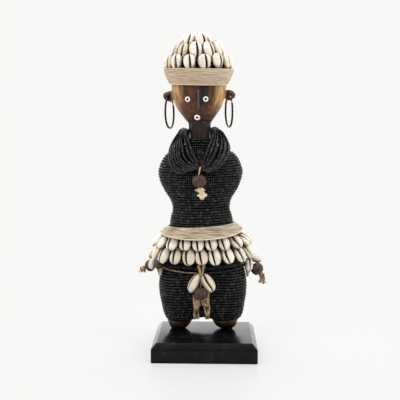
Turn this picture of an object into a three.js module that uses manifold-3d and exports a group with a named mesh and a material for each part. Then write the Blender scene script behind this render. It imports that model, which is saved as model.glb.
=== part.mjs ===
// A beaded Namji doll fixed on a black wooden stand, in millimetres with +Z up.
// The doll faces -Y. The origin is the middle of the stand's underside.
import * as THREE from "three";
import { mergeVertices } from "three/addons/utils/BufferGeometryUtils.js";
import Module from "manifold-3d";

const manifold = await Module();
manifold.setup();

// Driving dimensions
const GAP = 0.3;
const STAND = { width: 100.6, depth: 88.4, height: 18.6, bevelOut: 4.9, bevelDrop: 5.3, corner: 1.2 };
const DOLL_PLACE = new THREE.Vector3(-1.6, 13.6, STAND.height + GAP);
const DOLL_LEAN = THREE.MathUtils.degToRad(1.3);
const HAT_TILT = THREE.MathUtils.degToRad(5);
const HAT_PIVOT = 250;
const NECK_RADIUS = 11;
const NECK_HEIGHTS = [193.5, 207];
const BEAD_PITCH = 2.8;
const ROWS_PER_RIB = 2;
const RIB_GROOVE = 1.1;
const WRAP_THICKNESS = 2.8;

// Outer profile of the torso wrap: height above the stand, half width, half depth
const TORSO_OUTLINE = [
  [104, 31.6, 24.4],
  [109.5, 31.5, 24.2],
  [115.5, 30.4, 23.5],
  [123, 28.6, 22.5],
  [131.5, 30.3, 23.2],
  [141.5, 36.3, 26],
  [151.5, 40.5, 27.8],
  [159.5, 42, 28.3],
  [165.5, 40.7, 28],
  [171.5, 38.5, 26.8],
  [178, 33.5, 23.4],
  [182, 25, 18.6],
  [184.5, 18.5, 16.2],
  [188, 15.4, 14.9],
  [193, 14.4, 14.2],
];
const BODY_SIDES = 16;
const TORSO_STATIONS = 8;

// Outer profile of the hip wrap: height, half width, half distance of the two thigh axes
const HIP_OUTLINE = [
  [11.4, 37.4, 22.6],
  [14.2, 38.9, 22.5],
  [17, 40.2, 22.5],
  [24.5, 41.7, 22.5],
  [34.5, 43.5, 22.5],
  [45, 44.3, 22.5],
  [54, 43.7, 22.2],
  [60, 42.6, 21.4],
  [66, 40.8, 20],
  [72, 39, 18.5],
  [78, 37.1, 16],
];
const HIP_RIBBED_ROWS = 18;
const THIGH_STATIONS = [11.4, 17, 34.5, 54];
const PELVIS_STATIONS = [66, 78];
const CROTCH = 22;

// Legs below and inside the hip wrap: height, axis offset from the middle, half width, half depth.
// Their inner sides slope towards each other and meet at the crotch.
const LEG_LEFT = [
  [0, -25.7, 6.1, 5.8],
  [1.5, -25.4, 8, 8.2],
  [4, -24.9, 10.2, 10.4],
  [8.5, -24.4, 12.3, 12.4],
];
const LEG_RIGHT = [
  [0, 23.5, 5.6, 5.8],
  [1.5, 23, 8.2, 8.6],
  [4, 22.5, 10.8, 11],
  [8.5, 22, 13.1, 12.9],
];
// Legs inside the hip wrap: height and where the inner side is
const LEG_INNER = [
  [11.4, 11],
  [17, 6.5],
  [24.5, 1],
];
const LEG_SIDES = 10;
const LOWER_WAIST = { height: 92, axis: 11, radius: 20.6 };

// Head: height and half width, as deep as HEAD_DEPTH times its width
const HEAD_OUTLINE = [
  [208.5, 11.4],
  [211, 13.4],
  [215, 16.3],
  [221, 20.7],
  [227, 23.8],
  [233, 25.6],
  [239, 26.6],
  [245, 27],
];
const HEAD_DEPTH = 0.93;
const HAT_DOME = [
  [245.5, 25.2],
  [262, 23.2],
  [271, 20.2],
  [280, 14],
  [287, 5.4],
];
const CAP_THICKNESS = 2.2;

// Cowrie shells
const SHELL_RISE = 4.8;
const HAT_ROWS = [
  { name: "hat_cowries_row_1", count: 14, first: 9.2, low: [32.4, 260.2], high: [30.8, 275.8], width: 13.6 },
  { name: "hat_cowries_row_2", count: 11, first: -8.9, low: [26.6, 270.2], high: [20.4, 287], width: 12.8 },
  { name: "hat_cowries_row_3", count: 7, first: 12, low: [19.2, 282], high: [10.8, 294], width: 12.4 },
  { name: "hat_cowries_top", count: 3, first: 60, low: [7.4, 290.6], high: [3.4, 298.8], width: 9.6 },
];
const SKIRT_ROWS = [
  {
    name: "skirt_cowries_upper",
    count: 19,
    first: 0.75,
    width: 12.6,
    length: 16.4,
    side: { reach: 42.4, height: 91.6, splay: 38 },
    front: { reach: 28.6, height: 91.9, splay: 12 },
  },
  {
    name: "skirt_cowries_lower",
    count: 19,
    first: 0,
    width: 12.4,
    length: 18.6,
    side: { reach: 43.6, height: 79.2, splay: 22 },
    front: { reach: 26.8, height: 78.4, splay: 9 },
  },
];

const COLOURS = {
  lacquer: { color: 0x17181b, roughness: 0.28, metalness: 0 },
  wood: { color: 0x5a3a22, roughness: 0.5, metalness: 0 },
  beads: { color: 0x131417, roughness: 0.3, metalness: 0 },
  shell: { color: 0xe6dcc8, roughness: 0.35, metalness: 0 },
  fibre: { color: 0xb7a283, roughness: 0.85, metalness: 0 },
  thong: { color: 0xa98a63, roughness: 0.85, metalness: 0 },
  cream: { color: 0xdccaa4, roughness: 0.8, metalness: 0 },
  seed: { color: 0x4c352d, roughness: 0.55, metalness: 0 },
  cap: { color: 0x24170f, roughness: 0.9, metalness: 0 },
  white: { color: 0xf2f0ea, roughness: 0.3, metalness: 0 },
  wire: { color: 0x2c2620, roughness: 0.4, metalness: 0.85 },
};

// Reading a profile between its rows
function between(rows, height, column) {
  if (height <= rows[0][0]) return rows[0][column];
  for (let i = 1; i < rows.length; i++) {
    const [low, high] = [rows[i - 1], rows[i]];
    if (height <= high[0]) {
      const share = (height - low[0]) / (high[0] - low[0]);
      return low[column] + share * (high[column] - low[column]);
    }
  }
  return rows[rows.length - 1][column];
}

// Closed meshes
function meshFrom(points, faces) {
  const geometry = new THREE.BufferGeometry();
  geometry.setAttribute("position", new THREE.Float32BufferAttribute(points.flat(), 3));
  geometry.setIndex(faces);
  geometry.computeVertexNormals();
  return geometry;
}

function middleOf(ring) {
  return [0, 1, 2].map((axis) => ring.reduce((sum, p) => sum + p[axis], 0) / ring.length);
}

// Skins a stack of rings that turn counterclockwise when seen from the last one.
// The two ends close on pole points. A looped stack joins its last ring to its first.
function loft(rings, { looped = false, poles = [] } = {}) {
  const sides = rings[0].length;
  const points = rings.flat();
  const faces = [];
  const bands = looped ? rings.length : rings.length - 1;
  for (let r = 0; r < bands; r++) {
    const low = r * sides;
    const high = ((r + 1) % rings.length) * sides;
    for (let i = 0; i < sides; i++) {
      const j = (i + 1) % sides;
      faces.push(low + i, low + j, high + j);
      faces.push(low + i, high + j, high + i);
    }
  }
  if (!looped) {
    const last = (rings.length - 1) * sides;
    const start = points.push(poles[0] ?? middleOf(rings[0])) - 1;
    const end = points.push(poles[1] ?? middleOf(rings[rings.length - 1])) - 1;
    for (let i = 0; i < sides; i++) {
      const j = (i + 1) % sides;
      faces.push(start, j, i);
      faces.push(end, last + i, last + j);
    }
  }
  return meshFrom(points, faces);
}

function solidOf(geometry) {
  const bare = geometry.clone();
  bare.deleteAttribute("normal");
  bare.deleteAttribute("uv");
  const merged = mergeVertices(bare, 1e-4);
  const mesh = new manifold.Mesh({
    numProp: 3,
    vertProperties: new Float32Array(merged.attributes.position.array),
    triVerts: new Uint32Array(merged.index.array),
  });
  return new manifold.Manifold(mesh);
}

function geometryOf(solid) {
  const mesh = solid.getMesh();
  const geometry = new THREE.BufferGeometry();
  geometry.setAttribute("position", new THREE.BufferAttribute(mesh.vertProperties, 3));
  geometry.setIndex(new THREE.BufferAttribute(mesh.triVerts, 1));
  geometry.computeVertexNormals();
  return geometry;
}

function fuse(geometries) {
  return geometryOf(geometries.map(solidOf).reduce((sum, part) => sum.add(part)));
}

// Horizontal sections, counterclockwise from above
function oval(height, halfWidth, halfDepth, sides, middle = 0) {
  return Array.from({ length: sides }, (_, i) => {
    const turn = (2 * Math.PI * i) / sides - Math.PI / 2;
    return [middle + halfWidth * Math.cos(turn), halfDepth * Math.sin(turn), height];
  });
}

// Two half circles side by side, joined by straight lines
function twinRound(height, axis, radius, sides) {
  const half = sides / 2;
  return Array.from({ length: sides }, (_, i) => {
    const side = i < half ? 1 : -1;
    const turn = (Math.PI * (i % half)) / (half - 1) - Math.PI / 2;
    return [side * (axis + radius * Math.cos(turn)), side * radius * Math.sin(turn), height];
  });
}

// Tubes and straps along a smooth path
function tube(path, radius, sides, steps, closed = false) {
  const curve = new THREE.CatmullRomCurve3(path.map((p) => new THREE.Vector3(...p)), closed, "centripetal");
  const section = new THREE.Shape(
    Array.from({ length: sides }, (_, i) => {
      const turn = (2 * Math.PI * i) / sides;
      return new THREE.Vector2(radius * Math.cos(turn), radius * Math.sin(turn));
    }),
  );
  return new THREE.ExtrudeGeometry(section, { steps, extrudePath: curve, bevelEnabled: false });
}

// A flat strip down a line of stations, each [x, y, z, width, thickness], from low to high
function strip(stations) {
  return loft(
    stations.map(([x, y, z, width, thickness]) => [
      [x + width / 2, y, z],
      [x, y + thickness / 2, z],
      [x - width / 2, y, z],
      [x, y - thickness / 2, z],
    ]),
  );
}

// An irregular knot, as a squashed ball of twelve points
function lump(x, y, z, sizeX, sizeY, sizeZ) {
  const ball = new THREE.IcosahedronGeometry(0.5, 0);
  ball.scale(sizeX, sizeY, sizeZ);
  ball.translate(x, y, z);
  return ball;
}

// A round bead with a hole along its axis, from its outer radius, hole and length
function holedBead(radius, hole, length, sides) {
  const half = length / 2;
  const profile = [
    [hole, -half],
    [radius * 0.7, -half],
    [radius, 0],
    [radius * 0.7, half],
    [hole, half],
    [hole, -half],
  ];
  return new THREE.LatheGeometry(profile.map(([x, y]) => new THREE.Vector2(x, y)), sides);
}

// Stand: a square-cut block with a bevel round its top and narrow vertical corner cuts
function standGeometry() {
  const outline = (halfWidth, halfDepth, height, cut) => [
    [halfWidth, -halfDepth + cut, height],
    [halfWidth, halfDepth - cut, height],
    [halfWidth - cut, halfDepth, height],
    [-halfWidth + cut, halfDepth, height],
    [-halfWidth, halfDepth - cut, height],
    [-halfWidth, -halfDepth + cut, height],
    [-halfWidth + cut, -halfDepth, height],
    [halfWidth - cut, -halfDepth, height],
  ];
  const { width, depth, height, bevelOut, bevelDrop, corner } = STAND;
  return loft([
    outline(width / 2, depth / 2, 0, corner),
    outline(width / 2, depth / 2, height - bevelDrop, corner),
    outline(width / 2 - bevelOut, depth / 2 - bevelOut, height, corner / 2),
  ]);
}

// Torso wrap: bead strings wound up the torso, from the waist to the base of the neck.
// Each rib of the wrap is as wide as two rows of beads.
const torsoSpine = new THREE.SplineCurve(TORSO_OUTLINE.map(([h, w]) => new THREE.Vector2(w, h)));

// Ring of the torso at a share of its spine, set in from the bead crests by an inset
function torsoRing(share, inset) {
  const point = torsoSpine.getPointAt(share);
  const along = torsoSpine.getTangentAt(share);
  const depth = between(TORSO_OUTLINE, point.y, 2);
  const height = point.y + inset * along.x;
  return oval(height, point.x - inset * along.y, depth - inset * along.y, BODY_SIDES);
}

function torsoStations(inset) {
  return Array.from({ length: TORSO_STATIONS }, (_, i) => torsoRing(i / (TORSO_STATIONS - 1), inset));
}

function torsoWrapGeometry() {
  const ribs = Math.floor(torsoSpine.getLength() / BEAD_PITCH / ROWS_PER_RIB);
  const outside = [];
  for (let half = 0; half <= 2 * ribs; half++) {
    outside.push(torsoRing(half / (2 * ribs), half % 2 === 0 ? RIB_GROOVE : 0));
  }
  const inside = torsoStations(WRAP_THICKNESS).reverse();
  return loft([...outside, ...inside], { looped: true });
}

// Hip wrap: rows of beads round both thighs, plain where the skirt hides it
function hipRing(height, inset) {
  const axis = between(HIP_OUTLINE, height, 2);
  return twinRound(height, axis, between(HIP_OUTLINE, height, 1) - axis - inset, BODY_SIDES);
}

function hipWrapGeometry() {
  const start = HIP_OUTLINE[0][0];
  const outside = [];
  for (let half = 0; half <= (2 * HIP_RIBBED_ROWS) / ROWS_PER_RIB; half++) {
    const height = start + (half * BEAD_PITCH * ROWS_PER_RIB) / 2;
    outside.push(hipRing(height, half % 2 === 0 ? RIB_GROOVE : 0));
  }
  const stations = [...THIGH_STATIONS, ...PELVIS_STATIONS];
  outside.push(hipRing(stations[stations.length - 1], RIB_GROOVE));
  const inside = stations.map((height) => hipRing(height, WRAP_THICKNESS)).reverse();
  return loft([...outside, ...inside], { looped: true });
}

// The carved figure
const CORE_INSET = WRAP_THICKNESS + GAP;
const LEG_EASE = 0.5;

function hatTilted(geometry) {
  geometry.translate(0, 0, -HAT_PIVOT);
  geometry.rotateX(HAT_TILT);
  geometry.translate(0, 0, HAT_PIVOT);
  return geometry;
}

// A leg narrows towards its sole, and its sole lies flat on the stand although the doll leans
function legGeometry(outline) {
  const rings = outline.map(([height, axis, wide, deep]) => oval(height, wide, deep, LEG_SIDES, axis));
  for (const point of rings[0]) {
    point[2] = -point[0] * Math.tan(DOLL_LEAN);
  }
  const side = Math.sign(outline[0][1]);
  for (const [height, inner] of LEG_INNER) {
    const outer = between(HIP_OUTLINE, height, 1) - CORE_INSET - LEG_EASE;
    const deep = outer - between(HIP_OUTLINE, height, 2);
    rings.push(oval(height, (outer - inner) / 2, deep, LEG_SIDES, (side * (outer + inner)) / 2));
  }
  return loft(rings);
}

// Hips, torso, neck, head and the dome under the hat, as one stack of sections
function trunkGeometry() {
  const crotch = hipRing(CROTCH, CORE_INSET + LEG_EASE);
  const pelvis = [...THIGH_STATIONS.slice(2), ...PELVIS_STATIONS].map((at) => hipRing(at, CORE_INSET));
  const waist = twinRound(LOWER_WAIST.height, LOWER_WAIST.axis, LOWER_WAIST.radius, BODY_SIDES);
  const neck = NECK_HEIGHTS.map((at) => oval(at, NECK_RADIUS, NECK_RADIUS, BODY_SIDES));
  const head = HEAD_OUTLINE.map(([at, half]) => oval(at, half, half * HEAD_DEPTH, BODY_SIDES));
  const dome = HAT_DOME.map(([at, reach]) =>
    oval(at, reach, reach, BODY_SIDES).map((point) => {
      const tilted = new THREE.Vector3(point[0], point[1], point[2] - HAT_PIVOT);
      tilted.applyAxisAngle(new THREE.Vector3(1, 0, 0), HAT_TILT);
      return [tilted.x, tilted.y, tilted.z + HAT_PIVOT];
    }),
  );
  const torso = torsoStations(CORE_INSET);
  return loft([crotch, ...pelvis, waist, ...torso, ...neck, ...head, ...dome]);
}

// A thin ridge from the brow to just above the mouth
const NOSE = { top: 241, bottom: 219.5, halfWidth: 1.6, rise: 3 };

function noseGeometry() {
  const face = (height) => -HEAD_DEPTH * between(HEAD_OUTLINE, height, 1);
  const stations = [
    [NOSE.bottom, 0.8],
    [NOSE.bottom + 3, NOSE.rise],
    [NOSE.top - 9, NOSE.rise * 0.9],
    [NOSE.top, 0.2],
  ];
  return loft(
    stations.map(([height, rise]) => [
      [NOSE.halfWidth * 1.3, face(height) + 2, height],
      [-NOSE.halfWidth * 1.3, face(height) + 2, height],
      [-NOSE.halfWidth * 0.5, face(height) - rise, height],
      [NOSE.halfWidth * 0.5, face(height) - rise, height],
    ]),
  );
}

// Ears: a lump on each side of the head with a hole from front to back
const EAR = { reach: 30.4, height: 235, radius: 5.4, hole: 2.1, holeReach: 29.5, holeDrop: 1 };

// Earrings: wire hoops that hang through the ear holes, their front turned a little outward
const HOOP = { radius: 15.2, wire: 0.95, turn: 15, sides: 5, steps: 16, gapAt: 125, gap: 6 };

function earGeometry(side) {
  const ear = new THREE.SphereGeometry(EAR.radius, 8, 6);
  ear.scale(1.12, 0.95, 1.04);
  ear.translate(side * EAR.reach, 0, EAR.height);
  return ear;
}

function earHoleGeometry(side) {
  const hole = new THREE.CylinderGeometry(EAR.hole, EAR.hole, 4 * EAR.radius, 6);
  hole.rotateZ(side * THREE.MathUtils.degToRad(HOOP.turn));
  hole.translate(side * EAR.holeReach, 0, EAR.height - EAR.holeDrop);
  return hole;
}

function figureGeometry() {
  const body = [legGeometry(LEG_LEFT), legGeometry(LEG_RIGHT), trunkGeometry(), noseGeometry()];
  const ears = [-1, 1].map((side) => solidOf(earGeometry(side)).subtract(solidOf(earHoleGeometry(side))));
  return geometryOf(ears.reduce((sum, ear) => sum.add(ear), solidOf(fuse(body))));
}

// Three ring beads on the face: name, x, height
const FACE_RINGS = [
  ["eye_left", -9.9, 230.9],
  ["eye_right", 6.8, 230.6],
  ["mouth_ring", -1.6, 213.8],
];
const RING_BEAD = { radius: 2.8, hole: 0.95, length: 1.9 };

function faceRingGeometry(x, height) {
  const surface = (px, h) => {
    const half = between(HEAD_OUTLINE, h, 1);
    return -HEAD_DEPTH * Math.sqrt(half * half - px * px);
  };
  const step = RING_BEAD.radius / 2;
  const here = new THREE.Vector3(x, surface(x, height), height);
  const across = new THREE.Vector3(2 * step, surface(x + step, height) - surface(x - step, height), 0);
  const upward = new THREE.Vector3(0, surface(x, height + step) - surface(x, height - step), 2 * step);
  const out = across.cross(upward).normalize();
  const bead = holedBead(RING_BEAD.radius, RING_BEAD.hole, RING_BEAD.length, 8);
  bead.applyQuaternion(new THREE.Quaternion().setFromUnitVectors(new THREE.Vector3(0, 1, 0), out));
  const stand = out.clone().multiplyScalar(RING_BEAD.length / 2 + GAP);
  bead.translate(...here.add(stand).toArray());
  return bead;
}

// The right hoop's split shows in front. The left one's is at the back.
function earringGeometry(side) {
  const middle = EAR.height - EAR.holeDrop - HOOP.radius;
  const turn = THREE.MathUtils.degToRad(HOOP.turn);
  const start = THREE.MathUtils.degToRad((side > 0 ? HOOP.gapAt : 180 - HOOP.gapAt) + HOOP.gap / 2);
  const arc = 2 * Math.PI - THREE.MathUtils.degToRad(HOOP.gap);
  const path = Array.from({ length: HOOP.steps + 1 }, (_, i) => {
    const angle = start + (arc * i) / HOOP.steps;
    const run = HOOP.radius * Math.cos(angle);
    const z = middle + HOOP.radius * Math.sin(angle);
    return [side * (EAR.holeReach - run * Math.sin(turn)), run * Math.cos(turn), z];
  });
  return tube(path, HOOP.wire, HOOP.sides, HOOP.steps);
}

// A cowrie in its own axes: x across, y out on the slit side, z along. Its back is cut flat.
const SHELL = { lip: 0.16, notch: 2.2, seam: 1.2, low: -0.18, high: 0.2, tip: 0.39, tipWidth: 0.62 };

function shellSection(share, fullness, length, width) {
  const half = (width / 2) * fullness;
  const lip = half * SHELL.lip + 0.2;
  const rise = SHELL_RISE * fullness;
  const z = share * length;
  const edge = [half, 0, z];
  const slit = [0, rise - SHELL.notch * fullness, z];
  return [edge, [lip, rise, z], slit, [-lip, rise, z], [-half, 0, z]];
}

function shellPole(share, length) {
  return [0, SHELL_RISE * 0.25, share * length];
}

// A cowrie on its own, from three sections given as a share of its length and of its full size
function cowrie(length, width) {
  const sections = [
    [-0.3, 0.76],
    [0.02, 1],
    [0.33, 0.76],
  ];
  const rings = sections.map(([share, fullness]) => shellSection(share, fullness, length, width));
  return loft(rings, { poles: [shellPole(-0.5, length), shellPole(0.5, length)] });
}

// Frame of a shell: its middle, the way its slit faces and its long axis
function shellFrame(middle, out, up) {
  const side = out.clone().cross(up);
  return new THREE.Matrix4().makeBasis(side, out, up).setPosition(middle);
}

// A closed row of cowries, each grown together with the next where their sides touch.
// The rounder tip is at the high end when tipUp is 1 and at the low end when it is -1.
function shellRow(frames, length, width, tipUp) {
  const points = [];
  const faces = [];
  const put = (frame, place) => points.push(new THREE.Vector3(...place).applyMatrix4(frame).toArray()) - 1;
  const quad = (a, b, c, d) => faces.push(a, b, c, a, c, d);
  const contact = tipUp > 0 ? [SHELL.low, SHELL.high] : [-SHELL.high, -SHELL.low];
  const seams = frames.map((frame, k) => {
    const next = frames[(k + 1) % frames.length];
    return contact.map((share) =>
      [0, SHELL.seam].map((y) => {
        const here = new THREE.Vector3(-width / 2, y, share * length).applyMatrix4(frame);
        const there = new THREE.Vector3(width / 2, y, share * length).applyMatrix4(next);
        return points.push(here.add(there).multiplyScalar(0.5).toArray()) - 1;
      }),
    );
  });
  frames.forEach((frame, k) => {
    const left = seams[k];
    const right = seams[(k + frames.length - 1) % frames.length];
    const rings = contact.map((share, level) => {
      const inner = shellSection(share, 1, length, width).slice(1, 4).map((p) => put(frame, p));
      return [right[level][0], right[level][1], ...inner, left[level][1], left[level][0]];
    });
    const tip = shellSection(SHELL.tip * tipUp, SHELL.tipWidth, length, width).map((p) => put(frame, p));
    const tipRing = [tip[0], tip[0], ...tip.slice(1, 4), tip[4], tip[4]];
    const stack = tipUp > 0 ? [...rings, tipRing] : [tipRing, ...rings];
    for (let level = 0; level < 2; level++) {
      const joined = stack[level] !== tipRing && stack[level + 1] !== tipRing;
      for (let i = 0; i < 7; i++) {
        const j = (i + 1) % 7;
        if (joined && (i === 0 || i === 5)) continue;
        quad(stack[level][i], stack[level][j], stack[level + 1][j], stack[level + 1][i]);
      }
    }
    const low = put(frame, shellPole(-0.5, length));
    const high = put(frame, shellPole(0.5, length));
    for (let i = 0; i < 7; i++) {
      const j = (i + 1) % 7;
      faces.push(low, stack[0][j], stack[0][i]);
      faces.push(high, stack[2][i], stack[2][j]);
    }
  });
  const whole = [];
  for (let i = 0; i < faces.length; i += 3) {
    const [a, b, c] = faces.slice(i, i + 3);
    if (a !== b && b !== c && c !== a) whole.push(a, b, c);
  }
  return meshFrom(points, whole);
}

function hatRowGeometry({ count, first, low, high, width }) {
  const length = Math.hypot(high[0] - low[0], high[1] - low[1]);
  const frames = Array.from({ length: count }, (_, i) => {
    const turn = THREE.MathUtils.degToRad(first - 90) + (2 * Math.PI * i) / count;
    const radial = new THREE.Vector3(Math.cos(turn), Math.sin(turn), 0);
    const up = radial.clone().multiplyScalar((high[0] - low[0]) / length);
    up.z = (high[1] - low[1]) / length;
    const out = radial.clone().multiplyScalar(up.z);
    out.z = (low[0] - high[0]) / length;
    const reach = (low[0] + high[0]) / 2 - SHELL_RISE / 2;
    const middle = radial.clone().multiplyScalar(reach);
    middle.z = (low[1] + high[1]) / 2;
    return shellFrame(middle, out, up);
  });
  return hatTilted(shellRow(frames, length, width, 1));
}

// The skirt rows follow an oval that is a little fuller between front and side, as the hips are
const SKIRT_FULLNESS = 0.08;

function skirtPoint(side, front, turn) {
  const full = 1 + SKIRT_FULLNESS * Math.sin(2 * turn) ** 2;
  return new THREE.Vector3(side.reach * full * Math.cos(turn), front.reach * full * Math.sin(turn), 0);
}

// Turns that set a number of equal steps round the skirt, the first a share of a step past the front
function evenTurns(pointAt, count, first) {
  const fine = 720;
  const turnAt = (i) => (2 * Math.PI * i) / fine - Math.PI / 2;
  const lengths = [0];
  for (let i = 1; i <= fine; i++) {
    lengths.push(lengths[i - 1] + pointAt(turnAt(i)).distanceTo(pointAt(turnAt(i - 1))));
  }
  return Array.from({ length: count }, (_, k) => {
    const target = (lengths[fine] * (k + first)) / count;
    return turnAt(lengths.findIndex((length) => length >= target));
  });
}

// Shells of a skirt row hang from under the band and splay more at the sides
function skirtRowGeometry({ count, first, width, length, side, front }) {
  const pointAt = (turn) => skirtPoint(side, front, turn);
  const frames = evenTurns(pointAt, count, first).map((turn) => {
    const toSide = Math.cos(turn) ** 2;
    const mix = (key) => front[key] + toSide * (side[key] - front[key]);
    const splay = THREE.MathUtils.degToRad(mix("splay"));
    const along = pointAt(turn + 0.02).sub(pointAt(turn - 0.02)).normalize();
    const radial = new THREE.Vector3(along.y, -along.x, 0);
    const up = radial.clone().multiplyScalar(-Math.sin(splay));
    up.z = Math.cos(splay);
    const out = radial.clone().multiplyScalar(Math.cos(splay));
    out.z = Math.sin(splay);
    return shellFrame(pointAt(turn).setZ(mix("height")), out, up);
  });
  return shellRow(frames, length, width, -1);
}

// Hat band and cap
const BAND_SIDES = 18;
const SKIRT_BAND_SIDES = 22;

function hatBandGeometry() {
  const outside = [
    [245.6, 28.3],
    [257.8, 34.4],
    [261.6, 34.6],
  ];
  const inside = [
    [261.6, 33.3],
    [257.8, 32.9],
    [245.6, 27.4],
  ];
  const rings = [...outside, ...inside].map(([height, radius]) => oval(height, radius, radius, BAND_SIDES));
  return hatTilted(loft(rings, { looped: true }));
}

function capGeometry() {
  const stations = [[HAT_PIVOT - 0.5, HAT_DOME[0][1]], ...HAT_DOME.slice(1)];
  const ring = (height, radius) => oval(height, radius, radius, BODY_SIDES);
  const last = stations.length - 1;
  const inside = stations.map(([height, radius], i) => ring(height + (i === last ? GAP : 0), radius + GAP));
  const outside = stations.map(([height, radius], i) => {
    const thickness = i === last ? CAP_THICKNESS / 2 : CAP_THICKNESS;
    return ring(height + (i / last) * CAP_THICKNESS, radius + GAP + thickness);
  });
  return hatTilted(loft([...inside.reverse(), ...outside]));
}

// Skirt band: a flared strip whose lower edge lifts at the sides
function skirtBandGeometry() {
  const edge = (halfWidth, halfDepth, frontHeight, sideHeight, tilt, fullness) =>
    oval(0, halfWidth, halfDepth, SKIRT_BAND_SIDES).map(([x, y]) => {
      const across = x / halfWidth;
      const full = 1 + fullness * 4 * across ** 2 * (1 - across ** 2);
      return [x * full, y * full, frontHeight + across ** 2 * (sideHeight - frontHeight) + tilt * across];
    });
  return loft(
    [
      edge(41.6, 36.4, 95.3, 100.4, 0, SKIRT_FULLNESS),
      edge(33.4, 26, 106.4, 107, 1.4, 0),
      edge(32, 24.8, 106.4, 107, 1.4, 0),
      edge(40.6, 35.4, 95, 100.1, 0, SKIRT_FULLNESS),
    ],
    { looped: true },
  );
}

// A bundle of strands that lies on the body: a ribbed strip between an upper and a lower edge.
// Its back keeps clear of the body by the ease, and its edges round off over a share of its width.
const BUNDLE_ROUND = 0.16;

function bundle(stations, { lobes, groove, backSteps, ease }, pointOn) {
  const rings = stations.map((station) => {
    const ring = [];
    const steps = 2 * lobes;
    for (let i = 0; i <= steps; i++) {
      const share = i / steps;
      const fromEdge = Math.min(share, 1 - share) / BUNDLE_ROUND;
      const roundness = fromEdge >= 1 ? 1 : Math.sqrt(1 - (1 - fromEdge) ** 2);
      const bulge = station.bulge * Math.sin(Math.PI * share);
      const thickness = station.thickTop + share * (station.thickLow - station.thickTop) + bulge;
      const rise = Math.max(ease + 0.8, 2 * GAP + thickness * roundness - (i % 2 === 0 ? groove : 0));
      ring.push(pointOn(station, share, rise));
    }
    for (let i = backSteps; i >= 0; i--) {
      ring.push(pointOn(station, i / backSteps, ease));
    }
    return ring;
  });
  return loft(rings.reverse(), { looped: true });
}

// Body outline that the necklace rests on: torso below, neck above
function bodySurface(height, turn, lift) {
  const sample = (h) => {
    if (h >= NECK_HEIGHTS[0]) return [NECK_RADIUS, NECK_RADIUS];
    return [between(TORSO_OUTLINE, h, 1), between(TORSO_OUTLINE, h, 2)];
  };
  const [wide, deep] = sample(height);
  const slope = (sample(height + 2)[0] - sample(height - 2)[0]) / 4;
  const norm = Math.hypot(1, slope);
  const outward = lift / norm;
  const upward = (-slope * lift) / norm;
  return [-(wide + outward) * Math.sin(turn), -(deep + outward) * Math.cos(turn), height + upward];
}

// Necklace: turn from the front towards the left side, then upper and lower edge heights,
// the bundle's thickness at each, and how much thicker it is between them
const NECKLACE = [
  [0, 169.5, 161.5, 6, 5.5, 0],
  [12, 178, 159.5, 5, 5, 0],
  [26, 186, 158.5, 5, 4.5, 1],
  [44, 191.5, 162, 6, 4.5, 2],
  [66, 198.5, 170.5, 8, 4.5, 3],
  [90, 201.5, 177, 8.5, 4, 4],
  [120, 202, 181, 9, 4, 4],
  [150, 201.5, 184, 9, 4, 3],
  [180, 201.5, 185, 9, 4, 3],
  [210, 201.5, 184, 9, 4, 3],
  [240, 202, 180, 9, 4, 5],
  [270, 202, 176.6, 9.5, 4, 6.5],
  [296, 198.5, 170.6, 8.5, 4.5, 5],
  [314, 192, 164.5, 6.5, 5, 3],
  [330, 187, 161, 5, 5, 1.5],
  [346, 179, 160.5, 5, 5, 0],
];
const NECKLACE_STEPS = 20;
const NECKLACE_RIBS = { lobes: 5, groove: 1.3, backSteps: 4, ease: 2.5 };
const SIDE_SLOPE = { top: 10, low: 50 };

// The strands pile up straight outwards in front and behind, and outwards and upwards at the sides
function necklacePoint({ turn, top, low }, share, lift) {
  const [x, y, z] = bodySurface(top + share * (low - top), turn, NECKLACE_RIBS.ease);
  const steepness = SIDE_SLOPE.top + share * (SIDE_SLOPE.low - SIDE_SLOPE.top);
  const slope = THREE.MathUtils.degToRad(steepness) * Math.sin(turn) ** 2;
  const reach = (lift - NECKLACE_RIBS.ease) * Math.cos(slope);
  return [
    x - reach * Math.sin(turn),
    y - reach * Math.cos(turn),
    z + (lift - NECKLACE_RIBS.ease) * Math.sin(slope),
  ];
}

function necklaceGeometry() {
  const columns = [1, 2, 3, 4, 5].map(
    (column) =>
      new THREE.CatmullRomCurve3(
        NECKLACE.map((row) => new THREE.Vector3(row[column], 0, 0)),
        true,
        "catmullrom",
        0.5,
      ),
  );
  const turns = new THREE.CatmullRomCurve3(NECKLACE.map((row) => new THREE.Vector3(row[0], 0, 0)));
  const stations = Array.from({ length: NECKLACE_STEPS }, (_, i) => {
    const share = i / NECKLACE_STEPS;
    const place = share * NECKLACE.length;
    const before = Math.floor(place);
    const next = before + 1 < NECKLACE.length ? NECKLACE[before + 1][0] : 360;
    const turn = NECKLACE[before][0] + (place - before) * (next - NECKLACE[before][0]);
    const [top, low, thickTop, thickLow, bulge] = columns.map((column) => column.getPoint(share).x);
    return { turn: THREE.MathUtils.degToRad(turn), top, low, thickTop, thickLow, bulge };
  });
  return bundle(stations, NECKLACE_RIBS, necklacePoint);
}

// Loose bead strings round the hips, lower in front and behind than at the sides
const HIP_STRANDS = { frontHeight: 67, sideLift: 4, drop: 12, thickness: 2.7, steps: 18 };
const HIP_RIBS = { lobes: 3, groove: 0.9, backSteps: 1, ease: 2 * GAP };

// Point on the hips at a height and a turn from the front towards the left side
function hipSurface(height, turn, lift) {
  const axis = between(HIP_OUTLINE, height, 2);
  const radius = between(HIP_OUTLINE, height, 1) - axis + lift;
  const x = -(axis + radius) * Math.sin(turn);
  const past = Math.max(0, Math.abs(x) - axis);
  return [x, -Math.sign(Math.cos(turn)) * Math.sqrt(Math.max(0, radius * radius - past * past)), height];
}

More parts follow.
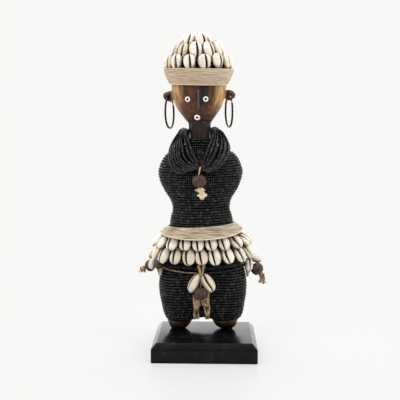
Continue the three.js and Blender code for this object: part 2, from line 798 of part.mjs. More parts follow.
function hipStrandsGeometry() {
  const { frontHeight, sideLift, drop, thickness, steps } = HIP_STRANDS;
  const stations = Array.from({ length: steps }, (_, i) => {
    const turn = (2 * Math.PI * (i + 0.5)) / steps;
    const middle = frontHeight + sideLift * Math.sin(turn) ** 2;
    const [top, low] = [middle + drop / 2, middle - drop / 2];
    return { turn, top, low, thickTop: thickness, thickLow: thickness, bulge: 0 };
  });
  const pointOn = (station, share, lift) =>
    hipSurface(station.top + share * (station.low - station.top), station.turn, lift);
  return bundle(stations, HIP_RIBS, pointOn);
}

// A thin tan string over the hip strands, from the left hip to the front tie
function waistThongGeometry() {
  const route = [
    [58, 66.8],
    [49, 65.4],
    [40, 64.4],
    [20, 62.4],
    [6, 61.6],
  ];
  const lift = 2 * GAP + HIP_STRANDS.thickness + 1.2;
  const path = route.map(([degrees, height]) => hipSurface(height, THREE.MathUtils.degToRad(degrees), lift));
  return tube(path, 0.55, 4, 8);
}

// Loin strips: folded strips of hide down the front to the hem, as x, width and top height
const LOIN_STRIPS = [
  [-7.8, 3, 39],
  [-4.8, 1.6, 37],
  [2.1, 1.8, 37],
  [5.4, 3.2, 42],
];
const LOIN_STRIP_FOOT = 14;
const STRAP_THICKNESS = 0.8;

function loinStripGeometry([x, width, top]) {
  const heights = [0, 0.25, 0.6, 1].map((share) => LOIN_STRIP_FOOT + share * (top - LOIN_STRIP_FOOT));
  return strip(
    heights.map((height) => {
      const surface = between(HIP_OUTLINE, height, 1) - between(HIP_OUTLINE, height, 2);
      return [x, -surface - 2 * GAP - STRAP_THICKNESS / 2, height, width, STRAP_THICKNESS];
    }),
  );
}

// A cowrie hung on its own, set by its middle, the way it faces and its long axis
function hungCowrie({ middle, faces, along, length, width }) {
  const up = new THREE.Vector3(...along).normalize();
  const out = new THREE.Vector3(...faces);
  out.addScaledVector(up, -out.dot(up)).normalize();
  return cowrie(length, width).applyMatrix4(shellFrame(new THREE.Vector3(...middle), out, up));
}

const HUNG_COWRIES = {
  front_cowrie_left: {
    middle: [-7.8, -25.2, 51.6],
    faces: [-0.5, -0.85, 0.1],
    along: [0.45, 0, 0.89],
    length: 19.4,
    width: 11.4,
  },
  front_cowrie_right: {
    middle: [5.8, -25.2, 51.6],
    faces: [0.5, -0.85, 0.1],
    along: [-0.5, 0, 0.87],
    length: 19.4,
    width: 11.4,
  },
  hip_right_cowrie_inner: {
    middle: [45.9, -8.7, 64.3],
    faces: [0.8, -0.6, 0],
    along: [0, 0, 1],
    length: 14,
    width: 9.5,
  },
  hip_right_cowrie_outer: {
    middle: [53.4, 4.6, 69.6],
    faces: [0.75, 0.1, 0.65],
    along: [0.4, -0.85, -0.35],
    length: 12.5,
    width: 9,
  },
  hip_left_cowrie_inner: {
    middle: [-48.8, -8.8, 66.6],
    faces: [-0.8, -0.6, 0.1],
    along: [0.3, 0, 0.95],
    length: 12,
    width: 8.4,
  },
  hip_left_cowrie_outer: {
    middle: [-50.9, 6, 74.6],
    faces: [-1, 0, 0.1],
    along: [0, -0.95, -0.3],
    length: 12.5,
    width: 8,
  },
};

// Seed beads on the pendant cords: middle, radius, length and the way the hole runs
const SEED_BEADS = {
  necklace_bead: { middle: [-0.6, -35.2, 152.4], radius: 6.7, length: 12, along: [0, 0, 1] },
  front_pendant_bead: { middle: [-1.3, -31, 42.6], radius: 6.3, length: 11.6, along: [0, 0, 1] },
  hip_right_bead: { middle: [54.9, -4, 60.9], radius: 5.7, length: 10.6, along: [0.62, 0, -0.78] },
  hip_left_bead_outer: { middle: [-53.4, 2, 63.2], radius: 5, length: 9.4, along: [-1, 0, -0.28] },
  hip_left_bead_inner: { middle: [-43.2, -17.4, 67.6], radius: 4.4, length: 8.2, along: [-3, 2, -1.6] },
};
const SEED_HOLE = 1.2;
const CORD_RADIUS = 0.75;

function seedBeadGeometry({ middle, radius, length, along }) {
  const bead = holedBead(radius, SEED_HOLE, length, 8);
  const way = new THREE.Vector3(...along).normalize();
  bead.applyQuaternion(new THREE.Quaternion().setFromUnitVectors(new THREE.Vector3(0, 1, 0), way));
  return bead.translate(...middle);
}

// Pendant cords: the route of each, and its knots as middle and size
const PENDANT_CORDS = {
  necklace_cord: {
    look: "cream",
    route: [
      [0.6, -36.3, 166.5],
      [0, -36.3, 161.5],
      [-0.6, -35.2, 158],
      [-0.6, -35.2, 146],
      [0.8, -33, 143.5],
    ],
    knots: [
      [0.9, -32.4, 142.6, 8, 5, 5.2],
      [2.2, -31.2, 138, 8, 5, 7.4],
    ],
  },
  front_pendant_cord: {
    look: "thong",
    route: [
      [-0.9, -28.6, 66],
      [-1.1, -30.4, 58],
      [-1.3, -31, 50],
      [-1.3, -31, 36],
      [-0.8, -29, 33],
    ],
    knots: [
      [-0.9, -28, 66.3, 5, 3.6, 8.6],
      [-0.7, -27.6, 32.2, 8, 4.4, 8],
    ],
  },
  hip_right_cord: {
    look: "thong",
    route: [
      [47.8, 2, 65.5],
      [50.8, -3.2, 65.6],
      [54.9, -4, 60.9],
      [58.9, -4, 55.8],
    ],
    knots: [
      [59.7, -4, 54.2, 5.6, 5, 7],
      [58.6, -4, 49.8, 3.6, 3, 6],
    ],
  },
  hip_left_cord: {
    look: "thong",
    route: [
      [-47.5, 2, 64.86],
      [-53.4, 2, 63.2],
      [-59.1, 2, 61.6],
    ],
    knots: [
      [-60.2, 2, 61.4, 5.2, 4.6, 5.6],
      [-61.8, 2, 59.2, 3.4, 3, 4.4],
    ],
  },
};

function pendantCordGeometry({ route, knots }) {
  return fuse([tube(route, CORD_RADIUS, 4, 6), ...knots.map((knot) => lump(...knot))]);
}

// Flat tan straps that hang from the hip ties, as stations of x, y, z, width and thickness
const HIP_STRAPS = {
  hip_right_thong: [
    [44.9, -9, 52.2, 1.6, 0.8],
    [45.7, -8.8, 57.2, 4.6, 1],
  ],
  hip_left_thong: [
    [-41.9, -14.4, 54.6, 2, 0.8],
    [-42.6, -13.8, 62, 5, 1],
  ],
};

const part = new THREE.Group();
const doll = new THREE.Group();
doll.position.copy(DOLL_PLACE);
doll.rotation.y = -DOLL_LEAN;
part.add(doll);

function addPiece(group, name, geometry, look) {
  const mesh = new THREE.Mesh(geometry, new THREE.MeshStandardMaterial(COLOURS[look]));
  mesh.name = name;
  group.add(mesh);
  return mesh;
}

addPiece(part, "stand", standGeometry(), "lacquer");
addPiece(doll, "wooden_figure", figureGeometry(), "wood");
addPiece(doll, "torso_bead_wrap", torsoWrapGeometry(), "beads");
addPiece(doll, "hip_bead_wrap", hipWrapGeometry(), "beads");
for (const [name, x, height] of FACE_RINGS) {
  addPiece(doll, name, faceRingGeometry(x, height), "white");
}
addPiece(doll, "earring_left", earringGeometry(-1), "wire");
addPiece(doll, "earring_right", earringGeometry(1), "wire");
addPiece(doll, "hat_cap", capGeometry(), "cap");
addPiece(doll, "hat_band", hatBandGeometry(), "fibre");
for (const row of HAT_ROWS) {
  addPiece(doll, row.name, hatRowGeometry(row), "shell");
}
addPiece(doll, "skirt_band", skirtBandGeometry(), "fibre");
for (const row of SKIRT_ROWS) {
  addPiece(doll, row.name, skirtRowGeometry(row), "shell");
}
addPiece(doll, "necklace_strands", necklaceGeometry(), "beads");
addPiece(doll, "hip_strands", hipStrandsGeometry(), "beads");
addPiece(doll, "waist_thong", waistThongGeometry(), "thong");
LOIN_STRIPS.forEach((row, i) => {
  addPiece(doll, `loin_strip_${i + 1}`, loinStripGeometry(row), "thong");
});
for (const [name, shell] of Object.entries(HUNG_COWRIES)) {
  addPiece(doll, name, hungCowrie(shell), "shell");
}
for (const [name, bead] of Object.entries(SEED_BEADS)) {
  addPiece(doll, name, seedBeadGeometry(bead), "seed");
}
for (const [name, cord] of Object.entries(PENDANT_CORDS)) {
  addPiece(doll, name, pendantCordGeometry(cord), cord.look);
}
for (const [name, stations] of Object.entries(HIP_STRAPS)) {
  addPiece(doll, name, strip(stations), "thong");
}

export default part;
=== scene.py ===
# A beaded Namji doll on its black stand.
# Lengths are millimetres in the doll's own frame, which has its origin between the feet,
# +Z up and the face towards -Y. They become metres when a mesh is made.
import math

import bpy
import numpy as np
from mathutils import Matrix, Vector


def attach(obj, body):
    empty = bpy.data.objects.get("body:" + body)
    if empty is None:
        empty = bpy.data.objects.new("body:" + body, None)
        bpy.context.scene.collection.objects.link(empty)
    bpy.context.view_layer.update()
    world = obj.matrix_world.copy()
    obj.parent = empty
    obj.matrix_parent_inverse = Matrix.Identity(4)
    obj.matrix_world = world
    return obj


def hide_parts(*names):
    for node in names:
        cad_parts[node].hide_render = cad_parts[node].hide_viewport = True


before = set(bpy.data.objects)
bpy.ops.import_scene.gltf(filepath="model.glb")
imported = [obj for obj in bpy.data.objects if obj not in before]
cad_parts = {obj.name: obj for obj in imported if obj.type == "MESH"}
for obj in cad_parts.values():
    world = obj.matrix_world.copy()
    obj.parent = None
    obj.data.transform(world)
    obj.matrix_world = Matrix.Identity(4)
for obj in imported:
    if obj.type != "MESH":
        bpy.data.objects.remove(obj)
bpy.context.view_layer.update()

MM = 0.001

# The doll's place on the stand
GAP = 0.3
STAND = {"width": 101.2, "depth": 88.8, "height": 18.6, "bevel_out": 4.9, "bevel_drop": 5.3, "corner": 1.6}
DOLL_PLACE = np.array([-1.6, 13.6, STAND["height"] + GAP])
DOLL_LEAN = math.radians(1.3)
HAT_TILT = math.radians(5)
HAT_BAND_ROLL = math.radians(2)
HAT_PIVOT = 250

# Outline of the wrapped torso: half width at its height, and half depth at the height in the last column
TORSO_OUTLINE = np.array([
    [104, 31.6, 24.4, 104], [109.5, 31.5, 24.2, 109.5], [115.5, 30.4, 23.5, 115.5], [123, 28.6, 22.5, 123],
    [131.5, 30.3, 23.2, 131.5], [141.5, 36.3, 26, 141.5], [151.5, 40.5, 27.8, 151.5],
    [159.5, 42, 28.3, 159.5], [165.5, 40.7, 28, 165.3], [171.5, 38.5, 27, 170.4], [178, 33.5, 23.2, 175.3],
    [182, 25, 18.4, 180.2], [184.5, 18.5, 15.9, 185], [188, 15.4, 14.9, 189], [193, 14.4, 14.2, 193],
])
# Outline of the wrapped hips: height, half width, half distance of the two thigh axes
HIP_OUTLINE = np.array([
    [11.4, 37.4, 22.6], [14.2, 38.9, 22.5], [17, 40.2, 22.5], [24.5, 41.7, 22.5], [34.5, 43.5, 22.5],
    [45, 44.3, 22.5], [54, 43.7, 22.2], [60, 42.6, 21.4], [66, 40.8, 20], [72, 39, 18.5], [78, 37.1, 16],
    [86, 34.8, 12.4], [95, 32.6, 9], [101, 31.6, 7.6],
])
HIP_FOOT, HIP_TOP = HIP_OUTLINE[0, 0], HIP_OUTLINE[-1, 0]
# Head: height and half width; it is a little less deep than wide
HEAD_OUTLINE = np.array([
    [204, 11], [208.5, 11.4], [211, 13.4], [215, 16.3], [221, 20.7], [227, 23.8], [233, 25.6], [239, 26.6],
    [245, 27], [250, 26.6],
])
HEAD_DEPTH = 0.93
NECK_RADIUS = 11

rng = np.random.default_rng(7)


# Placing points

def doll_to_world(points):
    c, s = math.cos(DOLL_LEAN), math.sin(DOLL_LEAN)
    x, y, z = np.asarray(points, float).T
    return np.column_stack([x * c - z * s, y, x * s + z * c]) + DOLL_PLACE


def on_hat(points, roll=0.0):
    """The hat is pushed back a little. Roll raises its left side."""
    turned = Matrix.Rotation(roll, 3, "Y") @ Matrix.Rotation(HAT_TILT, 3, "X")
    pivot = np.array([0, 0, HAT_PIVOT])
    return doll_to_world((np.asarray(points) - pivot) @ np.array(turned).T + pivot)


def as_is(points):
    return np.asarray(points, float)


# Numbers and paths

CURVE_STEPS = 24
WAVES = {"count": 7, "speeds": (0.7, 1.5), "height": 2.8}


def wobble(points, wavelength, seed):
    """A smooth random field, about -1 to 1, that varies over the wavelength."""
    draw = np.random.default_rng(seed)
    count = WAVES["count"]
    ways = draw.normal(size=(count, 3))
    ways *= (draw.uniform(*WAVES["speeds"], (count, 1)) * 2 * math.pi / wavelength) / np.linalg.norm(
        ways, axis=1
    )[:, None]
    phases = draw.uniform(0, 2 * math.pi, count)
    return np.sin(np.asarray(points) @ ways.T + phases).sum(1) / WAVES["height"]


def rising(value, start, span):
    """0 up to the start, and 1 from a span beyond it."""
    return np.clip((value - start) / span, 0, 1)


def falling(value, end, span):
    """1 up to a span before the end, and 0 from the end."""
    return np.clip((end - value) / span, 0, 1)


def hump(value, width):
    return np.exp(-((value / width) ** 2))


def around(count, shift=0):
    """Angles of equal steps once round."""
    return 2 * math.pi * (np.arange(count) + shift) / count


def unit(vectors):
    vectors = np.asarray(vectors, float)
    return vectors / np.linalg.norm(vectors, axis=-1, keepdims=True)


def lengths_along(path):
    return np.concatenate([[0], np.cumsum(np.linalg.norm(np.diff(path, axis=0), axis=1))])


def points_at(at, along, path):
    return np.column_stack([np.interp(at, along, path[:, k]) for k in range(path.shape[1])])


def smooth_path(points, count, closed=False):
    """A smooth curve through the points, as count points equally far apart."""
    p = np.asarray(points, float)
    if closed:
        p = np.vstack([p[-1], p, p[0], p[1]])
    else:
        p = np.vstack([2 * p[0] - p[1], p, 2 * p[-1] - p[-2]])
    t = np.linspace(0, 1, CURVE_STEPS, endpoint=False)[:, None]
    fine = []
    for a, b, c, d in zip(p, p[1:], p[2:], p[3:]):
        square = 2 * a - 5 * b + 4 * c - d
        cube = 3 * b - a - 3 * c + d
        fine.append(0.5 * (2 * b + (c - a) * t + square * t**2 + cube * t**3))
    fine = np.vstack(fine + [p[-2:-1]])
    along = lengths_along(fine)
    return points_at(np.linspace(0, along[-1], count, endpoint=not closed), along, fine)


def even_loop(path, count, phase=0.0):
    """Points equally far apart along a closed path of straight steps."""
    closed = np.vstack([path, path[:1]])
    along = lengths_along(closed)
    return points_at((np.arange(count) + phase) * along[-1] / count, along, closed)


# Gathering shapes into one mesh

class Pile:
    """Closed shapes gathered into one mesh. Every point has two values, tint and mark, for the material."""

    def __init__(self):
        self.points, self.faces, self.tints, self.marks = [], [], [], []
        self.count = 0

    def add(self, shape, tint=0.5, mark=0.0):
        points, faces = shape
        for face in faces:
            self.faces.append(np.asarray(face) + self.count)
        self.points.append(points)
        self.tints.append(np.broadcast_to(tint, len(points)))
        self.marks.append(np.broadcast_to(mark, len(points)))
        self.count += len(points)

    def mesh(self, name, place):
        points = place(np.concatenate(self.points)) * MM
        sizes = np.concatenate([np.full(len(face), face.shape[1]) for face in self.faces])
        corners = np.concatenate([face.ravel() for face in self.faces])
        mesh = bpy.data.meshes.new(name)
        mesh.vertices.add(len(points))
        mesh.vertices.foreach_set("co", points.ravel())
        mesh.loops.add(len(corners))
        mesh.loops.foreach_set("vertex_index", corners)
        mesh.polygons.add(len(sizes))
        mesh.polygons.foreach_set("loop_start", np.concatenate([[0], np.cumsum(sizes)[:-1]]))
        mesh.polygons.foreach_set("use_smooth", np.full(len(sizes), True))
        mesh.update(calc_edges=True)
        for label, values in (("tint", self.tints), ("mark", self.marks)):
            layer = mesh.attributes.new(label, "FLOAT", "POINT")
            layer.data.foreach_set("value", np.concatenate(values).astype(np.float32))
        return mesh


def piece(name, pile, slot, node, place=doll_to_world):
    """Shows a pile as the piece of the doll that stands for a node."""
    mesh = pile.mesh(name, place)
    mesh.materials.append(MATERIALS[slot])
    shown = bpy.data.objects.new(name, mesh)
    bpy.context.scene.collection.objects.link(shown)
    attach(shown, "root")
    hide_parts(node)


def lone_piece(name, shape, slot, node, place=doll_to_world, **looks):
    """Shows one shape as a piece."""
    pile = Pile()
    pile.add(shape, **looks)
    piece(name, pile, slot, node, place)


# Shapes, each as its points and its faces

def loft(rings, looped=False):
    """Skins a stack of rings that turn counterclockwise when seen from the last one."""
    rings = np.asarray(rings, float)
    levels, sides = rings.shape[:2]
    low = np.arange(levels if looped else levels - 1)[:, None] * sides
    high = (low + sides) % (levels * sides)
    i = np.arange(sides)[None, :]
    j = (i + 1) % sides
    faces = [np.stack([low + i, low + j, high + j, high + i], -1).reshape(-1, 4)]
    if not looped:
        faces += [np.arange(sides)[None, ::-1], (levels - 1) * sides + np.arange(sides)[None]]
    return rings.reshape(-1, 3), faces


def oval(height, half_width, half_depth, sides, middle=(0, 0)):
    turn = around(sides) - math.pi / 2
    x = middle[0] + half_width * np.cos(turn)
    y = middle[1] + half_depth * np.sin(turn)
    return np.column_stack([x, y, np.broadcast_to(height, sides)])


def twin_round(height, axis, radius, count):
    """Two half circles side by side joined by straight lines, as a closed path of equal steps."""
    right = -math.pi / 2 + math.pi * np.linspace(0, 1, 40)
    half = np.column_stack([axis + radius * np.cos(right), radius * np.sin(right)])
    return np.column_stack([even_loop(np.vstack([half, -half]), count), np.full(count, height)])


def tube(path, radius, sides):
    """A round bar along a path. It twists as little as possible."""
    ways = unit(np.gradient(path, axis=0))
    across = np.zeros_like(path)
    across[0] = unit(np.cross(ways[0], [0.3, 0.2, 0.93]))
    for i in range(1, len(path)):
        across[i] = unit(across[i - 1] - ways[i] * (across[i - 1] @ ways[i]))
    over = np.cross(ways, across)
    turn = around(sides)
    radius = np.broadcast_to(radius, len(path))[:, None, None]
    rings = path[:, None] + radius * (
        np.cos(turn)[None, :, None] * across[:, None] + np.sin(turn)[None, :, None] * over[:, None]
    )
    return loft(rings)


def ribbon(path, widths, thickness, facing=(0, -1, 0), sides=10):
    """A flat strap with round edges along a path. Facing is the direction of its flat side."""
    ways = unit(np.gradient(path, axis=0))
    across = unit(np.cross(facing, ways))
    out = np.cross(ways, across)
    turn = around(sides)
    wide = np.sign(np.cos(turn)) * np.abs(np.cos(turn)) ** 0.6
    rings = (
        path[:, None]
        + np.asarray(widths)[:, None, None] / 2 * wide[None, :, None] * across[:, None]
        + thickness / 2 * np.sin(turn)[None, :, None] * out[:, None]
    )
    return loft(rings)


def ball(rings, sides):
    """A sphere of radius 1 round the origin."""
    turn = around(sides)
    return loft([
        np.column_stack([np.cos(up) * np.cos(turn), np.cos(up) * np.sin(turn), np.full(sides, np.sin(up))])
        for up in np.linspace(-math.pi / 2, math.pi / 2, rings + 2)[1:-1]
    ])


def framed(points, middle, x_axis, y_axis, z_axis):
    return np.asarray(middle) + points @ np.array([x_axis, y_axis, z_axis])


# Seed beads

ROW_PITCH = 2.8
BEAD_PITCH = 2.15
BEAD_WIDTH = 2.75
# How far the beads stand out past the outlines
BEAD_PROUD = 0.45
# A bead's sides, the width of its ends as a share, and how much beads differ in aim, length and width
BEAD_SIDES = 8
BEAD_END = 0.66
BEAD_ERRORS = {"aim": 0.05, "length": (0.9, 1.05), "width": (0.92, 1.05)}


def bead_shape():
    """A barrel of length 1 along X and width 1."""
    turn = around(BEAD_SIDES)
    return loft([
        np.column_stack([np.full(BEAD_SIDES, x), width / 2 * np.cos(turn), width / 2 * np.sin(turn)])
        for x, width in ((-0.5, BEAD_END), (0, 1), (0.5, BEAD_END))
    ])


BEAD = bead_shape()


def add_beads(pile, middles, ways, ups, length, width, shades):
    """Beads threaded along the ways, each with its own small error in size and tint."""
    count = len(middles)
    ways = unit(ways + rng.normal(0, BEAD_ERRORS["aim"], (count, 3)))
    sides = unit(np.cross(ups, ways))
    ups = np.cross(ways, sides)
    template, faces = BEAD
    lengths = length * rng.uniform(*BEAD_ERRORS["length"], count)[:, None, None]
    widths = width * rng.uniform(*BEAD_ERRORS["width"], count)[:, None, None]
    points = (
        middles[:, None]
        + lengths * template[None, :, 0:1] * ways[:, None]
        + widths * (template[None, :, 1:2] * sides[:, None] + template[None, :, 2:3] * ups[:, None])
    )
    offsets = len(template) * np.arange(count)[:, None, None]
    whole = [(face[None] + offsets).reshape(-1, face.shape[1]) for face in faces]
    tints = np.repeat(rng.uniform(*shades, count), len(template))
    pile.add((points.reshape(-1, 3), whole), tint=tints)


def add_bead_row(pile, path, outward, length=BEAD_PITCH, width=BEAD_WIDTH, shades=(0, 1)):
    """A closed row of touching beads along a path, and which way is out at each of its points."""
    total = np.linalg.norm(np.roll(path, -1, 0) - path, axis=1).sum()
    count = round(total / length)
    phase = rng.uniform(0, 1)
    middles = even_loop(np.hstack([path, outward]), count, phase)
    middles, ups = middles[:, :3], middles[:, 3:]
    ways = np.roll(middles, -1, 0) - np.roll(middles, 1, 0)
    add_beads(pile, middles, unit(ways), unit(ups), total / count, width, shades)


def wound_by_hand(path, wavelength, seed):
    """Lets a row rise and fall, and press in and out, by a little."""
    path[:, 2] += 0.4 * wobble(path * [1, 1, 0.3], wavelength, seed) + 0.12 * wobble(path, 14, seed + 1)
    path[:, :2] *= 1 + 0.004 * wobble(path, 22, seed + 2)[:, None]
    return path


TORSO_STEPS = 400


def torso_beads():
    pile = Pile()
    spine = smooth_path(TORSO_OUTLINE, TORSO_STEPS)
    rows = round(lengths_along(spine[:, :2])[-1] / ROW_PITCH)
    inset = BEAD_WIDTH / 2 - BEAD_PROUD
    for row in range(rows):
        at = int((row + 0.5) / rows * (TORSO_STEPS - 1))
        height, wide, deep, front_height = spine[at]
        slope = unit((spine[min(at + 4, TORSO_STEPS - 1)] - spine[max(at - 4, 0)])[:2])
        path = oval(height + inset * slope[1], wide - inset * slope[0], deep - inset * slope[0], 220)
        path[:, 2] += (front_height - height) * (path[:, 1] / deep) ** 2
        path = wound_by_hand(path, 60, 11)
        add_bead_row(pile, path, unit(path * [1 / wide**2, 1 / deep**2, 0]))
    piece("torso_beads", pile, "black_beads", "torso_bead_wrap")


HEM_LIFT = {"height": 2.8, "half_width": 9, "fades_by": 11}
# A black sheet inside the lowest bead rows, over the wood of the legs: painted shade between the rows
SHADE_LINING = {"foot": HIP_FOOT + 0.8, "top": 34, "thickness": 0.5, "gap": 0.2}


def hips_at(height):
    """Half width of the hips, and half the distance of the thigh axes."""
    return [np.interp(height, HIP_OUTLINE[:, 0], HIP_OUTLINE[:, k]) for k in (1, 2)]


def away_from_hips(path, axis):
    past = path * [1, 1, 0]
    past[:, 0] -= np.clip(past[:, 0], -axis, axis)
    return unit(past + [0, 1e-6, 0])


def hip_ring(height, inset):
    """The hip outline at a height, drawn in by inset, with the hem raised between the legs."""
    wide, axis = hips_at(height)
    path = twin_round(height, axis, wide - axis - inset, 260)
    lift = HEM_LIFT["height"] * hump(path[:, 0], HEM_LIFT["half_width"])
    path[:, 2] += lift * max(0, 1 - (height - HIP_FOOT) / HEM_LIFT["fades_by"])
    return path, away_from_hips(path, axis)


def hip_beads():
    pile = Pile()
    height = HIP_FOOT + ROW_PITCH / 2
    while height < HIP_TOP:
        path, outward = hip_ring(height, BEAD_WIDTH / 2 - BEAD_PROUD)
        add_bead_row(pile, wound_by_hand(path, 55, 21), outward)
        height += ROW_PITCH
    # The black sheet: painted shade between the rows
    inside = BEAD_WIDTH - BEAD_PROUD + SHADE_LINING["gap"]
    deeper = inside + SHADE_LINING["thickness"]
    foot, top = SHADE_LINING["foot"], SHADE_LINING["top"]
    levels = [(foot, inside), (top, inside), (top, deeper), (foot, deeper)]
    pile.add(loft([hip_ring(*level)[0] for level in levels], looped=True), tint=0)
    piece("hip_beads", pile, "black_beads", "hip_bead_wrap")


# Necklace and hip strands

# Each strand is a loop from the tie on the chest, up one side, behind the neck and down the other.
# These are the innermost, a middle and the outermost strand, from neck to tie, as X, Y and height.
NECKLACE_LEFT = [
    [(-11.2, -8.6, 201.7), (-11.3, -9, 197.3), (-10.3, -11.9, 191.9), (-8.2, -19, 186.1),
     (-5.7, -24.1, 180.3), (-3.3, -27.4, 174.6), (-1.4, -29.2, 169.3), (-0.1, -30.1, 164.1)],
    [(-13.3, -4.7, 201.8), (-16, -2.9, 196.9), (-18.6, -3.3, 190.6), (-20.1, -16.4, 182.9),
     (-20.4, -22.3, 176.2), (-17.9, -26.1, 170.5), (-13.1, -28.3, 166.7), (-7.3, -29.6, 164.9),
     (-0.1, -30.1, 163.3)],
    [(-15.9, -2.8, 200.4), (-19.8, -2.9, 196.7), (-24.1, -3.2, 191.2), (-28.2, -4.5, 183.3),
     (-29.2, -16.3, 176.2), (-28.8, -21, 169.1), (-26.4, -23.8, 163.3), (-22.5, -26, 159),
     (-17.1, -27.8, 158), (-10.7, -29.3, 160.9), (-4.9, -29.9, 163.4), (-0.1, -30.1, 163.3)],
]
NECKLACE_RIGHT = [
    [(12.2, -7.4, 199.8), (11.6, -9.8, 193.9), (9.8, -17.3, 187.2), (7.3, -23.7, 180.5), (5.1, -27.3, 174.4),
     (3.3, -29.3, 168.8), (1.3, -30.1, 163.6)],
    [(12.9, -6, 200.8), (16.3, -2.9, 197.8), (18.6, -3.1, 191.8), (19.5, -14, 185), (18.9, -20.9, 179.3),
     (16.9, -25.1, 173.6), (13.4, -27.8, 168.5), (8.1, -29.5, 164.4), (1.8, -30.1, 162.4)],
    [(13.9, -3.1, 200.8), (17.8, -2.8, 200.2), (21.7, -2.9, 197.1), (25.4, -3.1, 191.6), (28.2, -4.3, 184.7),
     (28.3, -14.3, 178.9), (26, -21.2, 172.9), (22, -25.1, 167.8), (16.2, -27.9, 163.2), (8.9, -29.6, 160.2),
     (2.7, -30.1, 161.6)],
]
# Points behind the neck, for the innermost strand, and how far off them the outermost one passes
BEHIND_NECK = [((12.8, 4, 201.3), (4.5, 1.5, -1.5)), ((9, 11, 200), (5, 4, -7))]
NAPE = ((0, 13, 199), (0, 7.4, -13))
# Layers of strands from the top one down: how many, how far off the body, bead width and shades.
# The top layer takes the paler tints, partly painted glints; the lower ones only the darkest, as painted
# shade.
NECKLACE_LAYERS = [(9, 3.7, 2.5, (0.35, 1)), (8, 1.7, 2.4, (0, 0.25)), (8, 0.3, 2.4, (0, 0.1))]
STRAND_BEAD = {"length": 2.1, "width": 2.4}
STRAND_STEPS = 160
STRAND_SWAY = 1.5
SWAY_WAVES = (3, 4, 5)


def between(routes, rank):
    """A route between the inner, middle and outer ones. Rank runs from 0 to 1."""
    inner, middle, outer = (smooth_path(route, 30) for route in routes)
    return (
        inner * (1 - rank) * (1 - 2 * rank) + middle * 4 * rank * (1 - rank) + outer * rank * (2 * rank - 1)
    )


def behind_neck(point, rank, side):
    inner, spread = np.array(point)
    return (inner + rank * spread) * [side, 1, 1]


def off_the_chest(path):
    return unit(path * [1, 1.6, 0] + [0, 0, 9])


def strand_loop(left, right, lift):
    """One strand, given how far out it lies on each side and how far it is lifted off the body."""
    path = np.vstack([
        between(NECKLACE_LEFT, left)[::-3],
        [behind_neck(point, left, -1) for point in BEHIND_NECK],
        [behind_neck(NAPE, (left + right) / 2, 1)],
        [behind_neck(point, right, 1) for point in BEHIND_NECK[::-1]],
        between(NECKLACE_RIGHT, right)[::3],
    ])
    path = smooth_path(path, STRAND_STEPS, closed=True)
    outward = off_the_chest(path)
    phases = rng.uniform(0, 6.28, len(SWAY_WAVES))
    share = np.linspace(0, 1, STRAND_STEPS, endpoint=False)
    free = np.sin(math.pi * share) ** 0.5
    sway = sum(np.sin(2 * math.pi * share * k + phase) / k for k, phase in zip(SWAY_WAVES, phases))
    along = unit(np.roll(path, -1, 0) - np.roll(path, 1, 0))
    across = np.cross(outward, along)
    lifted = lift * (0.35 + 0.65 * free)
    return path + outward * lifted[:, None] + across * (STRAND_SWAY * sway * free)[:, None]


def necklace_strands():
    pile = Pile()
    for count, lift, width, shades in NECKLACE_LAYERS:
        for k in range(count):
            left = (k + rng.uniform(0.25, 0.75)) / count
            right = np.clip(left + rng.normal(0, 0.06), 0, 1)
            path = strand_loop(left, right, lift * (1 - 0.35 * left))
            add_bead_row(pile, path, off_the_chest(path), STRAND_BEAD["length"], width, shades)
    piece("necklace_beads", pile, "black_beads", "necklace_strands")


HIP_STRANDS = {
    "count": 6, "steps": 400, "front_height": 67, "side_lift": 4, "drop": 12, "sag": 1.1, "off": 1.5,
    "crossed": 0.8, "axis": 20, "thickness": 2.7,
}


def hip_surface(height, turn, lift):
    wide, axis = hips_at(height)
    radius = wide - axis + lift
    x = -(axis + radius) * np.sin(turn)
    past = np.maximum(0, np.abs(x) - axis)
    y = -np.sign(np.cos(turn)) * np.sqrt(np.maximum(0, radius**2 - past**2))
    return np.column_stack([x, y, height])


def hip_strands():
    pile = Pile()
    sizes = HIP_STRANDS
    turn = around(sizes["steps"], 0.5)
    for k in range(sizes["count"]):
        share = (k + 0.5) / sizes["count"]
        height = sizes["front_height"] + sizes["side_lift"] * np.sin(turn) ** 2
        height = height + sizes["drop"] * (0.5 - share) + sizes["sag"] * np.cos(turn) ** 2 * np.sin(k * 2.1)
        path = hip_surface(height, turn, sizes["off"] + sizes["crossed"] * (k % 2))
        add_bead_row(pile, path, away_from_hips(path, sizes["axis"]), **STRAND_BEAD)
    piece("hip_strand_beads", pile, "black_beads", "hip_strands")


# Cowrie shells

# Rows on the hat: shells, turn of the first in degrees, lower and upper ends as radius and height, width
HAT_ROWS = [
    ("hat_cowries_row_1", 14, 12, (32.8, 259.4), (31.2, 274.9), 12.9),
    ("hat_cowries_row_2", 11, -4, (27.2, 268.2), (20.6, 287), 12.6),
    ("hat_cowries_row_3", 7, 16, (19.6, 280.4), (10.7, 294.7), 12.6),
    ("hat_cowries_top", 3, 60, (8.4, 284), (3.4, 295.8), 10.4),
]
# Rows on the skirt: shells, place of the first, width, length, and reach, height and splay at side and front
SKIRT_ROWS = [
    ("skirt_cowries_upper", 19, 0.75, 12.2, 16.4, (43.4, 91, 50), (28.8, 91.8, 18)),
    ("skirt_cowries_lower", 19, 0, 12.6, 19, (45, 79.6, 33), (27.2, 78.4, 12)),
]
